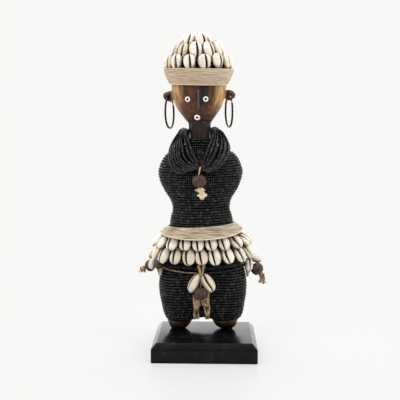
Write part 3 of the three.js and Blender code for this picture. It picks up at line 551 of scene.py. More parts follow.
# Single shells: middle, the way the slit faces, the way the shell runs, length and width
HUNG_COWRIES = {
    "front_cowrie_left": ((-7.3, -25.8, 51.8), (-0.78, -0.62, 0.1), (0.47, 0, 0.88), 20, 12.6),
    "front_cowrie_right": ((5.6, -25.8, 51.8), (0.72, -0.69, 0.1), (-0.5, 0, 0.87), 20, 12.6),
    "hip_right_cowrie_inner": ((45.9, -9.4, 66.4), (0.8, -0.6, 0), (0, 0, 1), 13.4, 9.5),
    "hip_right_cowrie_outer": ((53, 2, 70), (0.5, -0.5, 0.7), (0.86, -0.35, -0.36), 13, 9),
    "hip_left_cowrie_inner": ((-49.2, -10, 69.2), (-0.8, -0.6, 0.1), (0.3, 0, 0.95), 12, 8.4),
    "hip_left_cowrie_outer": ((-50.9, 6, 74.6), (-1, 0, 0.1), (0, -0.95, -0.3), 12.5, 8),
}
SHELL_RISE = 4.8
SHELL_BACK = {"hat": 1.2, "skirt": 1.0, "hung": 2.2}
SHELL_LEVELS = 36
SHELL_TAPER = 0.18
# How dark the painted shade along a shell's rim and over its back is, as a mark
SHELL_RIM_SHADE = 0.4
SLIT = {"width": 0.066, "depth": 2.6, "teeth": 11, "bite": 0.16, "off_middle": 0.1, "lips": 0.7}
HAT_ROW_SPREAD = 0.03
SKIRT_FULLNESS = 0.08
SKIRT_STEPS = 720
# How the skirt's shells lean to one side between front and side, and all of them; how sharply they
# pass from the front's reach and splay to the side's; and by how many degrees their splay differs
SKIRT_LEAN = {"between": 0.36, "all": 0.07}
SKIRT_TO_SIDE = 1.3
SKIRT_SPLAY_ERROR = 2


def cowrie(length, width, rise, back, off_middle):
    """A cowrie with its slit towards +Y and its rounder end at +Z. The mark is 1 in the slit, painted
    near-black as the shade of its opening, and about 0.4 along the rim and over the back, as painted shade."""
    s = np.sin(np.linspace(-1, 1, SHELL_LEVELS) * math.pi / 2 * 0.985)
    half = width / 2 * (1 - np.abs(s) ** 2.1) ** 0.52 * (1 + SHELL_TAPER * s)
    crown = (1 - np.abs(s) ** 3) ** 0.5
    slit_at = width * off_middle * (1 + 0.5 * np.cos(s * 1.6)) + width * 0.05 * s
    slit_half = width * SLIT["width"] * (1 - 0.5 * s**4) * (1 - 0.25 * s)
    slit_half = np.minimum(slit_half, half * 0.3)
    tooth = 1 + SLIT["bite"] * np.sin(2 * math.pi * SLIT["teeth"] * np.linspace(0, 1, SHELL_LEVELS))
    near = np.array([-5, -3, -1.7, -1.05, -0.55, 0, 0.55, 1.05, 1.7, 3, 5])
    far = np.array([0.03, 0.14, 0.34, 0.64])
    turn = np.linspace(0, math.pi, 8)[1:-1]
    rings, marks = [], []
    for k in range(SHELL_LEVELS):
        w, g = half[k], slit_half[k] * tooth[k]
        x0 = float(np.clip(slit_at[k], -w * 0.4, w * 0.4))
        left = -w + (x0 - 5 * g + w) * far
        right = w - (w - x0 - 5 * g) * far[::-1]
        x = np.concatenate([left, x0 + near * g, right])
        u = np.clip(np.abs(x / w), 0, 1)
        groove = np.exp(-(((x - x0) / g) ** 2) * 0.9)
        lips = hump(x - x0, 3 * g)
        y = rise * crown[k] * (1 - u**2.3) ** 0.5 - crown[k] * (SLIT["depth"] * groove + SLIT["lips"] * lips)
        back_x, back_y = w * np.cos(turn), -back * crown[k] * np.sin(turn) ** 0.8
        ring_x, ring_y = np.concatenate([x, back_x]), np.concatenate([y, back_y])
        rings.append(np.column_stack([ring_x, ring_y, np.full(len(ring_x), s[k] * length / 2)]))
        # Painted shade along the rim and over the back
        rim = rising(np.maximum(u, np.abs(s[k])), 0.86, 0.14)
        marks.append(np.concatenate([np.maximum(groove, SHELL_RIM_SHADE * rim), np.full(len(back_x), SHELL_RIM_SHADE)]))
    return loft(rings), np.concatenate(marks)


def add_cowrie(pile, length, width, back, out, up, middle, slit_up, lean=0.0):
    """Sets one cowrie, a little unlike the others. Slit_up says which end is the rounder one."""
    off_middle = -SLIT["off_middle"] * rng.uniform(0.3, 1.5)
    length, width = length * rng.uniform(0.93, 1.05), width * rng.uniform(0.92, 1.05)
    (points, faces), marks = cowrie(length, width, SHELL_RISE, back, off_middle)
    points = points * [slit_up, 1, slit_up]
    twist = rng.normal(0, 0.06) + lean
    c, s = math.cos(twist), math.sin(twist)
    points = points @ np.array([[c, 0, s], [0, 1, 0], [-s, 0, c]])
    placed = framed(points, middle, np.cross(out, up), out, up)
    pile.add((placed, faces), tint=rng.uniform(0, 1), mark=marks)


def hat_row(name, count, first, low, high, width):
    """A ring of shells, a little further apart at the front."""
    pile = Pile()
    length = math.hypot(high[0] - low[0], high[1] - low[1])
    for i in range(count):
        turn = math.radians(first + 360 * i / count)
        turn += HAT_ROW_SPREAD * math.sin(2 * turn) * (math.cos(turn) > 0) - math.pi / 2
        radial = np.array([math.cos(turn), math.sin(turn), 0])
        up = radial * (high[0] - low[0]) / length + [0, 0, (high[1] - low[1]) / length]
        out = radial * up[2] + [0, 0, (low[0] - high[0]) / length]
        middle = radial * ((low[0] + high[0]) / 2 - SHELL_RISE / 2) + [0, 0, (low[1] + high[1]) / 2]
        middle = middle + up * rng.normal(0, 0.7)
        add_cowrie(pile, length, width, SHELL_BACK["hat"], out, up, middle, 1)
    piece(name + "_shells", pile, "cowrie_shell", name, on_hat)


def skirt_point(side, front, turn):
    full = 1 + SKIRT_FULLNESS * np.sin(2 * turn) ** 2
    return np.array([side * full * np.cos(turn), front * full * np.sin(turn), 0 * turn]).T


def skirt_row(name, count, first, width, length, side, front):
    pile = Pile()
    turns = around(SKIRT_STEPS) - math.pi / 2
    path = skirt_point(side[0], front[0], turns)
    along = lengths_along(np.vstack([path, path[:1]]))
    for k in range(count):
        target = along[-1] * (k + first) / count
        turn = turns[min(int(np.searchsorted(along, target)), SKIRT_STEPS - 1)]
        to_side = abs(math.cos(turn)) ** SKIRT_TO_SIDE
        reach, height, splay = (f + to_side * (s - f) for s, f in zip(side, front))
        splay = math.radians(splay + rng.normal(0, SKIRT_SPLAY_ERROR))
        here = skirt_point(side[0], front[0], np.array([turn - 0.02, turn, turn + 0.02]))
        way = unit(here[2] - here[0])
        radial = np.array([way[1], -way[0], 0])
        up = radial * -math.sin(splay) + [0, 0, math.cos(splay)]
        out = radial * math.cos(splay) + [0, 0, math.sin(splay)]
        lean = SKIRT_LEAN["between"] * math.cos(turn) * math.sin(turn) - SKIRT_LEAN["all"]
        add_cowrie(pile, length, width, SHELL_BACK["skirt"], out, up, here[1] + [0, 0, height], -1, lean)
    piece(name + "_shells", pile, "cowrie_shell", name)


def hung_cowrie(name, middle, faces_way, along, length, width):
    pile = Pile()
    up = unit(along)
    out = np.array(faces_way, float)
    out = unit(out - up * (out @ up))
    add_cowrie(pile, length, width, SHELL_BACK["hung"], out, up, middle, -1)
    piece(name + "_shell", pile, "cowrie_shell", name)


# Fibre bands and cap

BAND_SIDES = 240
# Height and radius of the hat band outside and inside, and of the cap under the shells
HAT_BAND = np.array([[245.6, 28.3], [249.5, 30.6], [253.7, 32.8], [257.8, 34.3], [261.6, 34.6]])
HAT_BAND_INSIDE = [(261.6, 33.3), (257.8, 32.9), (245.6, 27.4)]
HAT_BAND_TURNS = 56
CAP = [[249.5, 25.2], [262, 23.2], [271, 20.2], [280, 14], [287, 5.4]]
CAP_THICKNESS = 2.2
# The skirt band's foot and top: height, half width, half depth and how much higher it is at the sides
SKIRT_BAND_FOOT = np.array([95.6, 41.6, 36.4, 5.1])
SKIRT_BAND_TOP = np.array([106.6, 33.4, 26, 0.6])
SKIRT_BAND_INSIDE = [(106.4, 32, 24.8, 0.6), (95, 40.6, 35.4, 5.1)]
SKIRT_BAND_TURNS = 48
SKIRT_BAND_TILT = 1.4
# How much the mark darkens the skirt band's fibre
SKIRT_BAND_DARKENING = 0.75


def band_level(height, wide, deep, lift):
    ring = oval(0, wide, deep, BAND_SIDES)
    ring[:, 2] = height + lift * (ring[:, 0] / wide) ** 2
    return ring


def fibre_band(name, node, outer, inner, place, seed, worn=0.0):
    """A band of thin fibres wound round and round. Each level of its outside and inside is its height,
    half width, half depth and how much higher it is at the sides."""
    rings = []
    for k, values in enumerate(outer):
        ring = band_level(*values)
        x, y = ring[:, 0] / values[1] * 9, ring[:, 1] / values[2] * 9
        wound = np.column_stack([x, y, np.full(BAND_SIDES, k * 2.2)])
        ridge = 0.13 * wobble(wound, 7, seed) + 0.13 * wobble(wound * [2.4, 2.4, 2.2], 7, seed + 1)
        if min(k, len(outer) - 1 - k) < 2:
            ridge = 0.35 + 0.05 * ridge
        rings.append(ring + unit(ring * [1, 1, 0]) * ridge[:, None])
    rings += [band_level(*values) for values in inner]
    # The tint runs from 0 at the foot to 1 at the top; the material paints a highlight along both edges
    share = np.repeat(np.linspace(0, 1, len(outer)), BAND_SIDES)
    share = np.concatenate([share, np.full(BAND_SIDES * len(inner), 0.5)])
    lone_piece(name, loft(rings, looped=True), "plant_fibre", node, place, tint=share, mark=worn)


def hat_band():
    heights = np.linspace(HAT_BAND[0, 0], HAT_BAND[-1, 0], HAT_BAND_TURNS)
    radii = np.interp(heights, HAT_BAND[:, 0], HAT_BAND[:, 1])
    outer, inner = ([(h, r, r, 0) for h, r in levels] for levels in (zip(heights, radii), HAT_BAND_INSIDE))
    fibre_band("hat_fibre_band", "hat_band", outer, inner, lambda points: on_hat(points, HAT_BAND_ROLL), 31)


def skirt_band():
    rise = SKIRT_BAND_TOP - SKIRT_BAND_FOOT
    outer = [SKIRT_BAND_FOOT + rise * t for t in np.linspace(0, 1, SKIRT_BAND_TURNS)]

    def place(points):
        across = points[:, 0] / SKIRT_BAND_FOOT[1]
        fullness = SKIRT_FULLNESS * 4 * across**2 * (1 - np.clip(across**2, 0, 1))
        full = 1 + fullness * falling(points[:, 2], 107, 10)
        tilt = SKIRT_BAND_TILT * across * rising(points[:, 2], 94, 12)
        return doll_to_world(np.column_stack([points[:, 0] * full, points[:, 1] * full, points[:, 2] + tilt]))

    fibre_band("skirt_fibre_band", "skirt_band", outer, SKIRT_BAND_INSIDE, place, 41, SKIRT_BAND_DARKENING)


def hat_cap():
    fine = smooth_path(CAP, 20)
    sides = 72
    outside = [
        oval(h + CAP_THICKNESS * k / 19, r + 2.5, r + 2.5, sides) for k, (h, r) in enumerate(fine)
    ]
    outside = [ring * (1 + 0.008 * wobble(ring, 6, 51))[:, None] for ring in outside]
    outside[-1] = oval(fine[-1, 0] + CAP_THICKNESS, 2, 2, sides)
    inside = [oval(h, r + 0.4, r + 0.4, sides) for h, r in fine[::4][::-1]]
    lone_piece("hat_cap_cloth", loft(inside + outside), "dark_cap", "hat_cap", on_hat)


# The carved figure

EAR = {
    "reach": 30.2, "height": 235, "radius": 5.4, "half_depth": 4.4, "hole": 1.2, "hole_reach": 29.5,
    "hole_drop": 1,
}
NOSE = {"top": 240, "bottom": 219.5, "half_width": 2, "rise": 3.2, "levels": 24}
# Across the nose: place, height and how much painted highlight it has on its crest
NOSE_ACROSS = np.array([-1.3, -1, -0.5, -0.2, 0.2, 0.5, 1, 1.3])
NOSE_SECTION = np.array([-0.6, 0, 0.6, 1, 1, 0.6, 0, -0.6])
NOSE_HIGHLIGHT = [0, 0, 0.4, 1, 1, 0.4, 0, 0]
NECK_FOOT = [[189, 11.2], [197, 10.9]]
# The feet: height, middle, half width and half depth
LEG_LEFT = [
    (0, -25.7, 6.1, 5.8), (1.5, -25.4, 8, 8.2), (4, -24.9, 10.2, 10.4), (8, -24.4, 12.1, 12.3),
    (10, -24.4, 12.6, 13),
]
LEG_RIGHT = [
    (0, 23.5, 5.6, 5.8), (1.5, 23, 8.2, 8.6), (4, 22.5, 10.8, 11), (8, 22, 13, 12.8), (10, 22, 13.6, 13.4),
]
# Inner side of the legs: height and distance from the middle
LEG_INNER = [(11.4, 11), (17, 6.5), (24.5, 1)]
CORE_INSET = 3.1
CORE_SIDES = 64
VOXEL = 0.6
# Rings on the face: place across, height and radius
FACE_RINGS = [
    ("eye_left", -9.9, 230.9, 2.65), ("eye_right", 6.75, 230.6, 2.65), ("mouth_ring", -1.6, 213.8, 3),
]
FACE_RING = {"hole": 1.2, "length": 1.9, "sides": 40, "round": 14}


def face_depth(x, height):
    half = np.interp(height, HEAD_OUTLINE[:, 0], HEAD_OUTLINE[:, 1])
    return -HEAD_DEPTH * np.sqrt(np.maximum(half**2 - x**2, 0.1))


def head_rings():
    rows = smooth_path(np.vstack([NECK_FOOT, HEAD_OUTLINE]), 70)
    return [oval(h, half, half * (HEAD_DEPTH if h > 208 else 1), 96) for h, half in rows]


def ear_shape(side):
    """A round lump drilled from front to back, close round the wire that hangs in it."""
    off = np.array([side * (EAR["hole_reach"] - EAR["reach"]), -EAR["hole_drop"]])
    rings = []
    for a in around(36):
        way = np.array([math.cos(a), math.sin(a)])
        edge = -way @ off + math.sqrt((way @ off) ** 2 - off @ off + EAR["radius"] ** 2)
        edge *= 1 + 0.05 * math.sin(3 * a + side) + 0.03 * math.cos(5 * a)
        last = math.acos(EAR["hole"] / edge)
        arc = np.linspace(-last, last, 15)
        reach = edge * np.cos(arc)
        rings.append(np.column_stack([reach * way[0], EAR["half_depth"] * np.sin(arc), reach * way[1]]))
    points, faces = loft(rings[::-1], looped=True)
    return points + [side * EAR["hole_reach"], 0, EAR["height"] - EAR["hole_drop"]], faces


def nose_shape():
    """A sharp ridge from the brow to just above the mouth."""
    rings = []
    for t in np.linspace(0, 1, NOSE["levels"]):
        height = NOSE["bottom"] + t * (NOSE["top"] - NOSE["bottom"])
        rise = NOSE["rise"] * min(1, 0.2 + 5 * t) * (1 - 0.8 * t**4)
        x = NOSE_ACROSS * NOSE["half_width"] * (1.1 - 0.2 * t)
        y = face_depth(x, height) - rise * NOSE_SECTION
        rings.append(np.column_stack([x, y, np.full(len(x), height)]))
    return loft(rings)


def carved_wood(points):
    """Small facets and hollows of the knife."""
    return 0.22 * wobble(points * [1, 1, 0.6], 13, 61) + 0.1 * wobble(points * [1, 1, 0.4], 5, 62)


def grown_together(pile):
    """The shapes of a pile as one softened skin: its points, its outward directions and its faces."""
    shown = bpy.data.objects.new("carving", pile.mesh("carving", as_is))
    bpy.context.scene.collection.objects.link(shown)
    remesh = shown.modifiers.new("remesh", "REMESH")
    remesh.mode = "VOXEL"
    remesh.voxel_size = VOXEL * MM
    soften = shown.modifiers.new("soften", "SMOOTH")
    soften.factor, soften.iterations = 0.5, 3
    graph = bpy.context.evaluated_depsgraph_get()
    mesh = bpy.data.meshes.new_from_object(shown.evaluated_get(graph))
    bpy.data.objects.remove(shown)
    values = np.zeros((2, len(mesh.vertices) * 3))
    mesh.vertices.foreach_get("co", values[0])
    mesh.vertices.foreach_get("normal", values[1])
    quads = np.array([list(polygon.vertices) for polygon in mesh.polygons])
    return values[0].reshape(-1, 3) / MM, values[1].reshape(-1, 3), quads


def wooden_figure():
    head = Pile()
    head.add(loft(head_rings()))
    for side in (-1, 1):
        head.add(ear_shape(side))
    points, normals, quads = grown_together(head)
    points = points + normals * carved_wood(points)[:, None]
    gold, dark = head_colours(points)
    pile = Pile()
    pile.add((points, [quads]), tint=gold, mark=dark)
    # The nose ridge is darkened by its mark, and its crest gets a painted grey highlight
    pile.add(nose_shape(), tint=-np.tile(NOSE_HIGHLIGHT, NOSE["levels"]), mark=0.8)
    for outline in (LEG_LEFT, LEG_RIGHT):
        shape = leg_shape(outline)
        pile.add(shape, tint=0.55 + 0.2 * wobble(shape[0], 16, 63), mark=foot_darkness(shape[0]))
    # The wood under the beads is painted its darkest: painted shade between the bead rows
    pile.add(trunk_shape(), tint=0.0, mark=1.0)
    piece("wooden_figure_carving", pile, "carved_wood", "wooden_figure")


def head_colours(points):
    """How golden and how dark the head and neck are coloured. The sides are golden, and a dark stain runs
    down the forehead beside the nose. Behind the face rings and round the ear holes the dark is painted
    shade."""
    x, y, z = points.T
    in_front = y < 0
    streak = 2.2 * wobble(points * [1, 1, 0.12], 9, 71)
    gold = rising(np.abs(x + streak + 1), 12.5, 9) * rising(z, 213, 14)
    gold = np.maximum(gold, 0.75 * rising(y, 4, 12) * rising(z, 214, 14))
    stain = 1.25 * hump(x - 5.8 + streak * 0.5, 4.4) * rising(z, 220, 9)
    stain = np.maximum(stain, 0.55 * hump(x + 13 + streak * 0.4, 2.2) * rising(z, 232, 8))
    # Dark on and beside the nose: partly a dark stain, partly painted shade beside the ridge
    nose = 0.85 * hump(x, 3.2) * rising(z, 217, 3) * falling(z, 243, 5)
    # The wood behind each face ring is darkened: painted shade in the ring's hole
    rings = [np.exp(-(np.hypot(x - across, z - up) / 2.6) ** 4) for _, across, up, _ in FACE_RINGS]
    neck = falling(z, 218, 11)
    ears = rising(np.abs(x), 26.6, 1.5) * (np.abs(z - EAR["height"]) < 8)
    gold = gold * (1 - 0.8 * ears)
    # Darkest round the hole in each ear: painted shade in the hole
    from_hole = np.hypot(np.abs(x) - EAR["hole_reach"], z - EAR["height"] + EAR["hole_drop"])
    ears = ears * (0.5 + 0.5 * falling(from_hole, 3.8, 1.5))
    facing = [patch * in_front for patch in (stain, nose, *rings)]
    dark = np.max([neck, ears, *facing], axis=0)
    return gold, np.clip(dark + 0.12 * wobble(points * [1, 1, 0.25], 7, 72), 0, 1)


def leg_shape(outline):
    side = np.sign(outline[0][1])
    rows = [list(row) for row in outline]
    for height, inner in LEG_INNER:
        wide, axis = hips_at(height)
        outer = wide - CORE_INSET - 0.5
        rows.append([height, side * (outer + inner) / 2, (outer - inner) / 2, outer - axis])
    rings = [oval(h, wide, deep, 56, (axis, 0)) for h, axis, wide, deep in smooth_path(rows, 40)]
    points, faces = loft(rings)
    outward = unit((points - [side * 24, 0, 0]) * [1, 1, 0] + [1e-6, 0, 0])
    points = points + outward * (0.35 * wobble(points, 12, 64))[:, None] * rising(points[:, 2:3], 0, 3)
    sole = points[:, 2] < 1e-6
    points[sole, 2] = -points[sole, 0] * math.tan(DOLL_LEAN)
    return points, faces


def foot_darkness(points):
    low = falling(points[:, 2], 9, 4)
    return np.clip(0.68 + 0.35 * low + 0.16 * wobble(points * [1, 1, 1.6], 8, 65), 0, 1)


def trunk_shape():
    """Hips and torso under the beads, plain."""
    rings = []
    for height in np.linspace(22, 98, 20):
        wide, axis = hips_at(height)
        rings.append(twin_round(height, axis, wide - axis - CORE_INSET, CORE_SIDES))
    start = np.argmin(rings[0][:, 1])
    rings = [np.roll(ring, -start, 0) for ring in rings]
    for height in np.linspace(106, 190, 24):
        wide = np.interp(height, TORSO_OUTLINE[:, 0], TORSO_OUTLINE[:, 1])
        deep = np.interp(height, TORSO_OUTLINE[:, 3], TORSO_OUTLINE[:, 2])
        rings.append(oval(height, wide - CORE_INSET, deep - CORE_INSET, CORE_SIDES))
    rings.append(oval(192, NECK_RADIUS - 0.5, NECK_RADIUS - 0.5, CORE_SIDES))
    return loft(rings)


def face_ring(name, x, height, radius):
    """A short glass ring bead held flat against the face."""
    step = 1.5
    hole, length = FACE_RING["hole"], FACE_RING["length"]
    here = np.array([x, face_depth(x, height), height])
    across = np.array([2 * step, face_depth(x + step, height) - face_depth(x - step, height), 0])
    upward = np.array([0, face_depth(x, height + step) - face_depth(x, height - step), 2 * step])
    out = unit(np.cross(across, upward))
    side = unit(np.cross(out, [0, 0, 1]))
    small = around(FACE_RING["round"])
    flat = np.sign(np.sin(small)) * np.abs(np.sin(small)) ** 0.7
    reach = (radius + hole) / 2 + (radius - hole) / 2 * np.cos(small)
    rings = []
    for a in around(FACE_RING["sides"]):
        way = math.cos(a) * side + math.sin(a) * np.cross(side, out)
        rings.append(way * reach[:, None] + out * (length / 2 * flat)[:, None])
    points, faces = loft(rings, looped=True)
    lone_piece(name + "_glass", (points + here + out * (length / 2 + GAP), faces), "white_ring_beads", name)


HOOP = {"radius": 15.2, "wire": 0.95, "turn": math.radians(12.5), "gap_at": 143, "gap": 6}
HOOP_STEPS = 90
WIRE_SIDES = 12


def earring(name, side):
    middle = EAR["height"] - EAR["hole_drop"] - HOOP["radius"]
    start = math.radians((HOOP["gap_at"] if side > 0 else 180 - HOOP["gap_at"]) + HOOP["gap"] / 2)
    share = np.linspace(0, 1, HOOP_STEPS)
    angle = start + (2 * math.pi - math.radians(HOOP["gap"])) * share
    run = HOOP["radius"] * np.cos(angle)
    path = np.column_stack([
        side * (EAR["hole_reach"] - run * math.sin(HOOP["turn"])),
        run * math.cos(HOOP["turn"]),
        middle + HOOP["radius"] * np.sin(angle),
    ])
    path[:, 0] += 0.12 * np.sin(angle * 3 + side)
    radius = HOOP["wire"] * (1 + 0.05 * np.sin(np.arange(HOOP_STEPS) * 1.7))
    radius[[0, 1, -2, -1]] *= 0.8
    # Only the right hoop carries the painted highlight, near its end in front of the ear
    bright = np.repeat(share * (side > 0), WIRE_SIDES)
    lone_piece(name + "_wire", tube(path, radius, WIRE_SIDES), "blackened_wire", name, tint=bright)


# Pendants, cords and straps

# Seeds: middle, radius, length and the way their hole runs
SEED_BEADS = {
    "necklace_bead": ((-0.6, -35.2, 152.4), 6.7, 12, (0, 0, 1)),
    "front_pendant_bead": ((-1.3, -31, 42.6), 6.4, 11.6, (0, 0, 1)),
    "hip_right_bead": ((54.9, -4, 60.9), 6.3, 11.2, (0.62, 0, -0.78)),
    "hip_left_bead_outer": ((-53.4, 2, 64.8), 5.6, 9.8, (-1, 0, -0.28)),
    "hip_left_bead_inner": ((-43.2, -17.6, 69.6), 4.6, 8.6, (-3, 2, -1.6)),
}
SEED_HOLE = 1.2
SEED_SIDES = 40
# Knots are their middle, size and sharpness; a tassel is its middle, width, height
PENDANT_CORDS = {
    "necklace_cord": {
        "look": "cream_cord",
        "route": [
            (0.8, -28.6, 166), (0.6, -32.4, 165), (0, -35.2, 161.8), (-0.6, -35.2, 158), (-0.6, -35.2, 146),
            (0.8, -33, 143.5),
        ],
        "knots": [((0.2, -33, 143.6), (8.6, 5, 5.8), 0.8), ((2, -32, 138.2), (8.6, 5, 8.2), 1)],
    },
    "front_pendant_cord": {
        "look": "tan_hide",
        "route": [(-0.9, -25.6, 60), (-1.1, -25.8, 54), (-1.3, -30.6, 49), (-1.3, -31, 36), (-0.8, -29, 33)],
        "knots": [((-0.9, -28, 60.6), (3.6, 3, 3.4), 0.3)],
        "straps": [
            [(-3.4, -26.8, 69.6), (-2.4, -27.6, 65), (-1.3, -28.2, 59.6)],
            [(2.4, -26.8, 69.6), (1.1, -27.8, 65), (-0.3, -28.4, 59.6)],
        ],
        "tassel": ((-0.9, -27.6, 33), 10.4, 8.4),
    },
    "hip_right_cord": {
        "look": "tan_hide",
        "route": [(47.8, 2, 65.5), (50.8, -3.2, 65.6), (54.9, -4, 60.9), (58.9, -4, 55.8)],
        "knots": [((59.4, -4, 55.4), (5, 4.4, 4), 0.4)],
        "tassel": ((59.6, -4, 50.4), 7.6, 9.4),
    },
    "hip_left_cord": {
        "look": "tan_hide",
        "route": [(-47.5, 2, 66.4), (-53.4, 2, 64.8), (-59.1, 2, 63)],
        "knots": [((-60, 2, 62.6), (4.6, 4.4, 4.4), 0.4)],
        "tassel": ((-61.4, 2, 60.8), 6.6, 6),
    },
}
CORD = {"radius": 0.75, "steps": 30, "sides": 8}
STRAP_STEPS = 14
TASSEL_STRANDS = 11
# Loin strips: place across at top and foot, width and height of the top
LOIN_STRIPS = [(-7.8, -7.8, 3.2, 39), (-4.6, -4.9, 1.7, 37), (1.2, 3, 1.7, 37), (5.4, 5.3, 3.3, 43)]
LOIN_STRIP_FOOT = 13.6
# The thong round the left hip: degrees from the front and height
WAIST_THONG = [(58, 66.8), (49, 65.4), (40, 64.4), (20, 62.4), (6, 61.6)]
WAIST_THONG_PROUD = 1.2
WAIST_THONG_LIFT = 2 * GAP + HIP_STRANDS["thickness"] + WAIST_THONG_PROUD
WAIST_THONG_RADIUS = 0.6
# Wedges of hide: places and widths, from the foot up
HIP_STRAPS = {
    "hip_right_thong": [(44.9, -9, 54, 1.6), (45.7, -8.8, 60.5, 4.8)],
    "hip_left_thong": [(-41.9, -15, 57.6, 2.6), (-42.4, -14.6, 66.5, 7)],
}


def seed_bead(name, middle, radius, length, along):
    """A dried seed, wrinkled lengthwise, with a hole from end to end."""
    hole = SEED_HOLE
    turn = around(SEED_SIDES)
    profile = [(hole, -0.4), (hole + 0.5, -0.5)]
    profile += [(radius * math.cos(a) ** 0.75, 0.5 * math.sin(a)) for a in np.linspace(-1.3, 1.3, 17)]
    profile += [(hole + 0.5, 0.5), (hole, 0.4)]
    rings = [
        np.column_stack([r * np.cos(turn), r * np.sin(turn), np.full(SEED_SIDES, z * length)])
        for r, z in profile
    ]
    points, faces = loft(rings, looped=True)
    rough = wobble(points * [1, 1, 0.35], 3.2, len(name)) * 0.05 + wobble(points, 1.7, 5) * 0.02
    outer = rising(np.hypot(points[:, 0], points[:, 1]), hole, 2)
    points = points * (1 + (rough * outer)[:, None] * [1, 1, 0.4])
    z_axis = unit(along)
    x_axis = unit(np.cross(z_axis, [0.2, 0.9, 0.35]))
    points = framed(points, middle, x_axis, np.cross(z_axis, x_axis), z_axis)
    lone_piece(name + "_seed", (points, faces), "seed_bead", name)


def knot(middle, size, sharp, seed):
    """A lump of knotted cord. Sharp runs from 0, a ball, to 1, a lump with flat sides and corners."""
    points, faces = ball(18, 28)
    flat = np.abs(points).sum(1, keepdims=True) ** sharp
    points = points / flat * np.asarray(size) / 2 * (1 + 0.25 * sharp)
    points = points * (1 + 0.09 * wobble(points, 3, seed))[:, None]
    return points + np.asarray(middle), faces


def add_tassel(pile, middle, width, height, seed):
    """Frayed ends of hide: short strands that hang, cross each other and curl."""
    draw = np.random.default_rng(seed)
    share = np.linspace(0, 1, STRAP_STEPS)
    for k in range(TASSEL_STRANDS):
        start, end = draw.uniform(-0.38, 0.38), draw.uniform(-0.5, 0.5)
        reach = draw.uniform(0.7, 1)
        x = width * (start + (end - start) * share + 0.06 * np.sin(share * 6 + k))
        y = 0.7 * np.sin(share * draw.uniform(4, 8) + k) - 0.5 * (k % 3)
        z = height * (0.5 - share * reach)
        path = np.asarray(middle) + np.column_stack([x, y, z])
        widths = np.full(STRAP_STEPS, draw.uniform(0.9, 1.5))
        strand = ribbon(path, widths, 0.7, (0.3 * math.sin(k), -1, 0.2), 8)
        pile.add(strand, tint=draw.uniform(0.3, 1))


def pendant_cord(name, look, route, knots, straps=(), tassel=None):
    pile = Pile()
    pile.add(tube(smooth_path(route, CORD["steps"]), CORD["radius"], CORD["sides"]), mark=1)
    for k, (middle, size, sharp) in enumerate(knots):
        pile.add(knot(middle, size, sharp, 80 + k))
    for strap in straps:
        pile.add(ribbon(smooth_path(strap, STRAP_STEPS), np.linspace(2.9, 2, STRAP_STEPS), 0.8))
    if tassel:
        add_tassel(pile, *tassel, len(name))
    piece(name + "_knotted", pile, look, name)


def loin_strip(name, top_x, foot_x, width, top):
    share = np.linspace(0, 1, 30)
    heights = LOIN_STRIP_FOOT + (top - LOIN_STRIP_FOOT) * share
    wide, axis = hips_at(heights)
    y = -(wide - axis) - BEAD_PROUD - 0.7
    x = foot_x + (top_x - foot_x) * share + 0.25 * np.sin(heights * 0.35 + top_x)
    widths = width * (1 + 0.08 * np.sin(heights * 0.8))
    strip = ribbon(np.column_stack([x, y, heights]), widths, 0.8, (0.25 * np.sign(top_x), -1, 0))
    lone_piece(name + "_hide", strip, "tan_hide", name)


def waist_thong():
    route = [
        hip_surface(np.array([h]), np.radians([degrees]), WAIST_THONG_LIFT)[0] for degrees, h in WAIST_THONG
    ]
    thong = tube(smooth_path(route, 40), WAIST_THONG_RADIUS, 8)
    lone_piece("waist_thong_hide", thong, "tan_hide", "waist_thong", mark=0.5)


def hip_strap(name, stations):
    path = smooth_path(stations, 16)
    lone_piece(name + "_hide", ribbon(path[:, :3], path[:, 3], 0.9), "tan_hide", name)


# The stand

def stand():
    """A block with a wide bevel round its top and small round edges."""
    w, d, h = STAND["width"] / 2, STAND["depth"] / 2, STAND["height"]
    out, corner = STAND["bevel_out"], STAND["corner"]
    edge = h - STAND["bevel_drop"]
    levels = [
        (0, 0.5), (0.25, 0.15), (0.7, 0), (edge - 0.5, 0), (edge - 0.1, 0.08), (edge + 0.3, 0.38),
        (h - 0.45, out - 0.35), (h - 0.1, out), (h, out + 0.5),
    ]
    rings = []
    for z, inset in levels:
        ring = []
        for quarter, (sx, sy) in enumerate([(1, -1), (1, 1), (-1, 1), (-1, -1)]):
            turn = -math.pi / 2 + quarter * math.pi / 2 + np.linspace(0, math.pi / 2, 6)
            cx, cy = sx * (w - inset - corner), sy * (d - inset - corner)
            x, y = cx + corner * np.cos(turn), cy + corner * np.sin(turn)
            ring.append(np.column_stack([x, y, np.full(len(turn), z)]))
        rings.append(np.vstack(ring))
    lone_piece("stand_block", loft(rings), "lacquered_stand", "stand", as_is)


# Materials

def new_material(name, colour, roughness, **more):
    material = bpy.data.materials.new(name)
    material.use_nodes = True
    shader = material.node_tree.nodes["Principled BSDF"]
    shader.inputs["Base Color"].default_value = (*colour, 1)
    shader.inputs["Roughness"].default_value = roughness
    for label, value in more.items():
        shader.inputs[label.replace("_", " ")].default_value = value
    return material, material.node_tree, shader


def add_node(tree, kind, **settings):
    node = tree.nodes.new(kind)
    for label, value in settings.items():
        setattr(node, label, value)
    return node


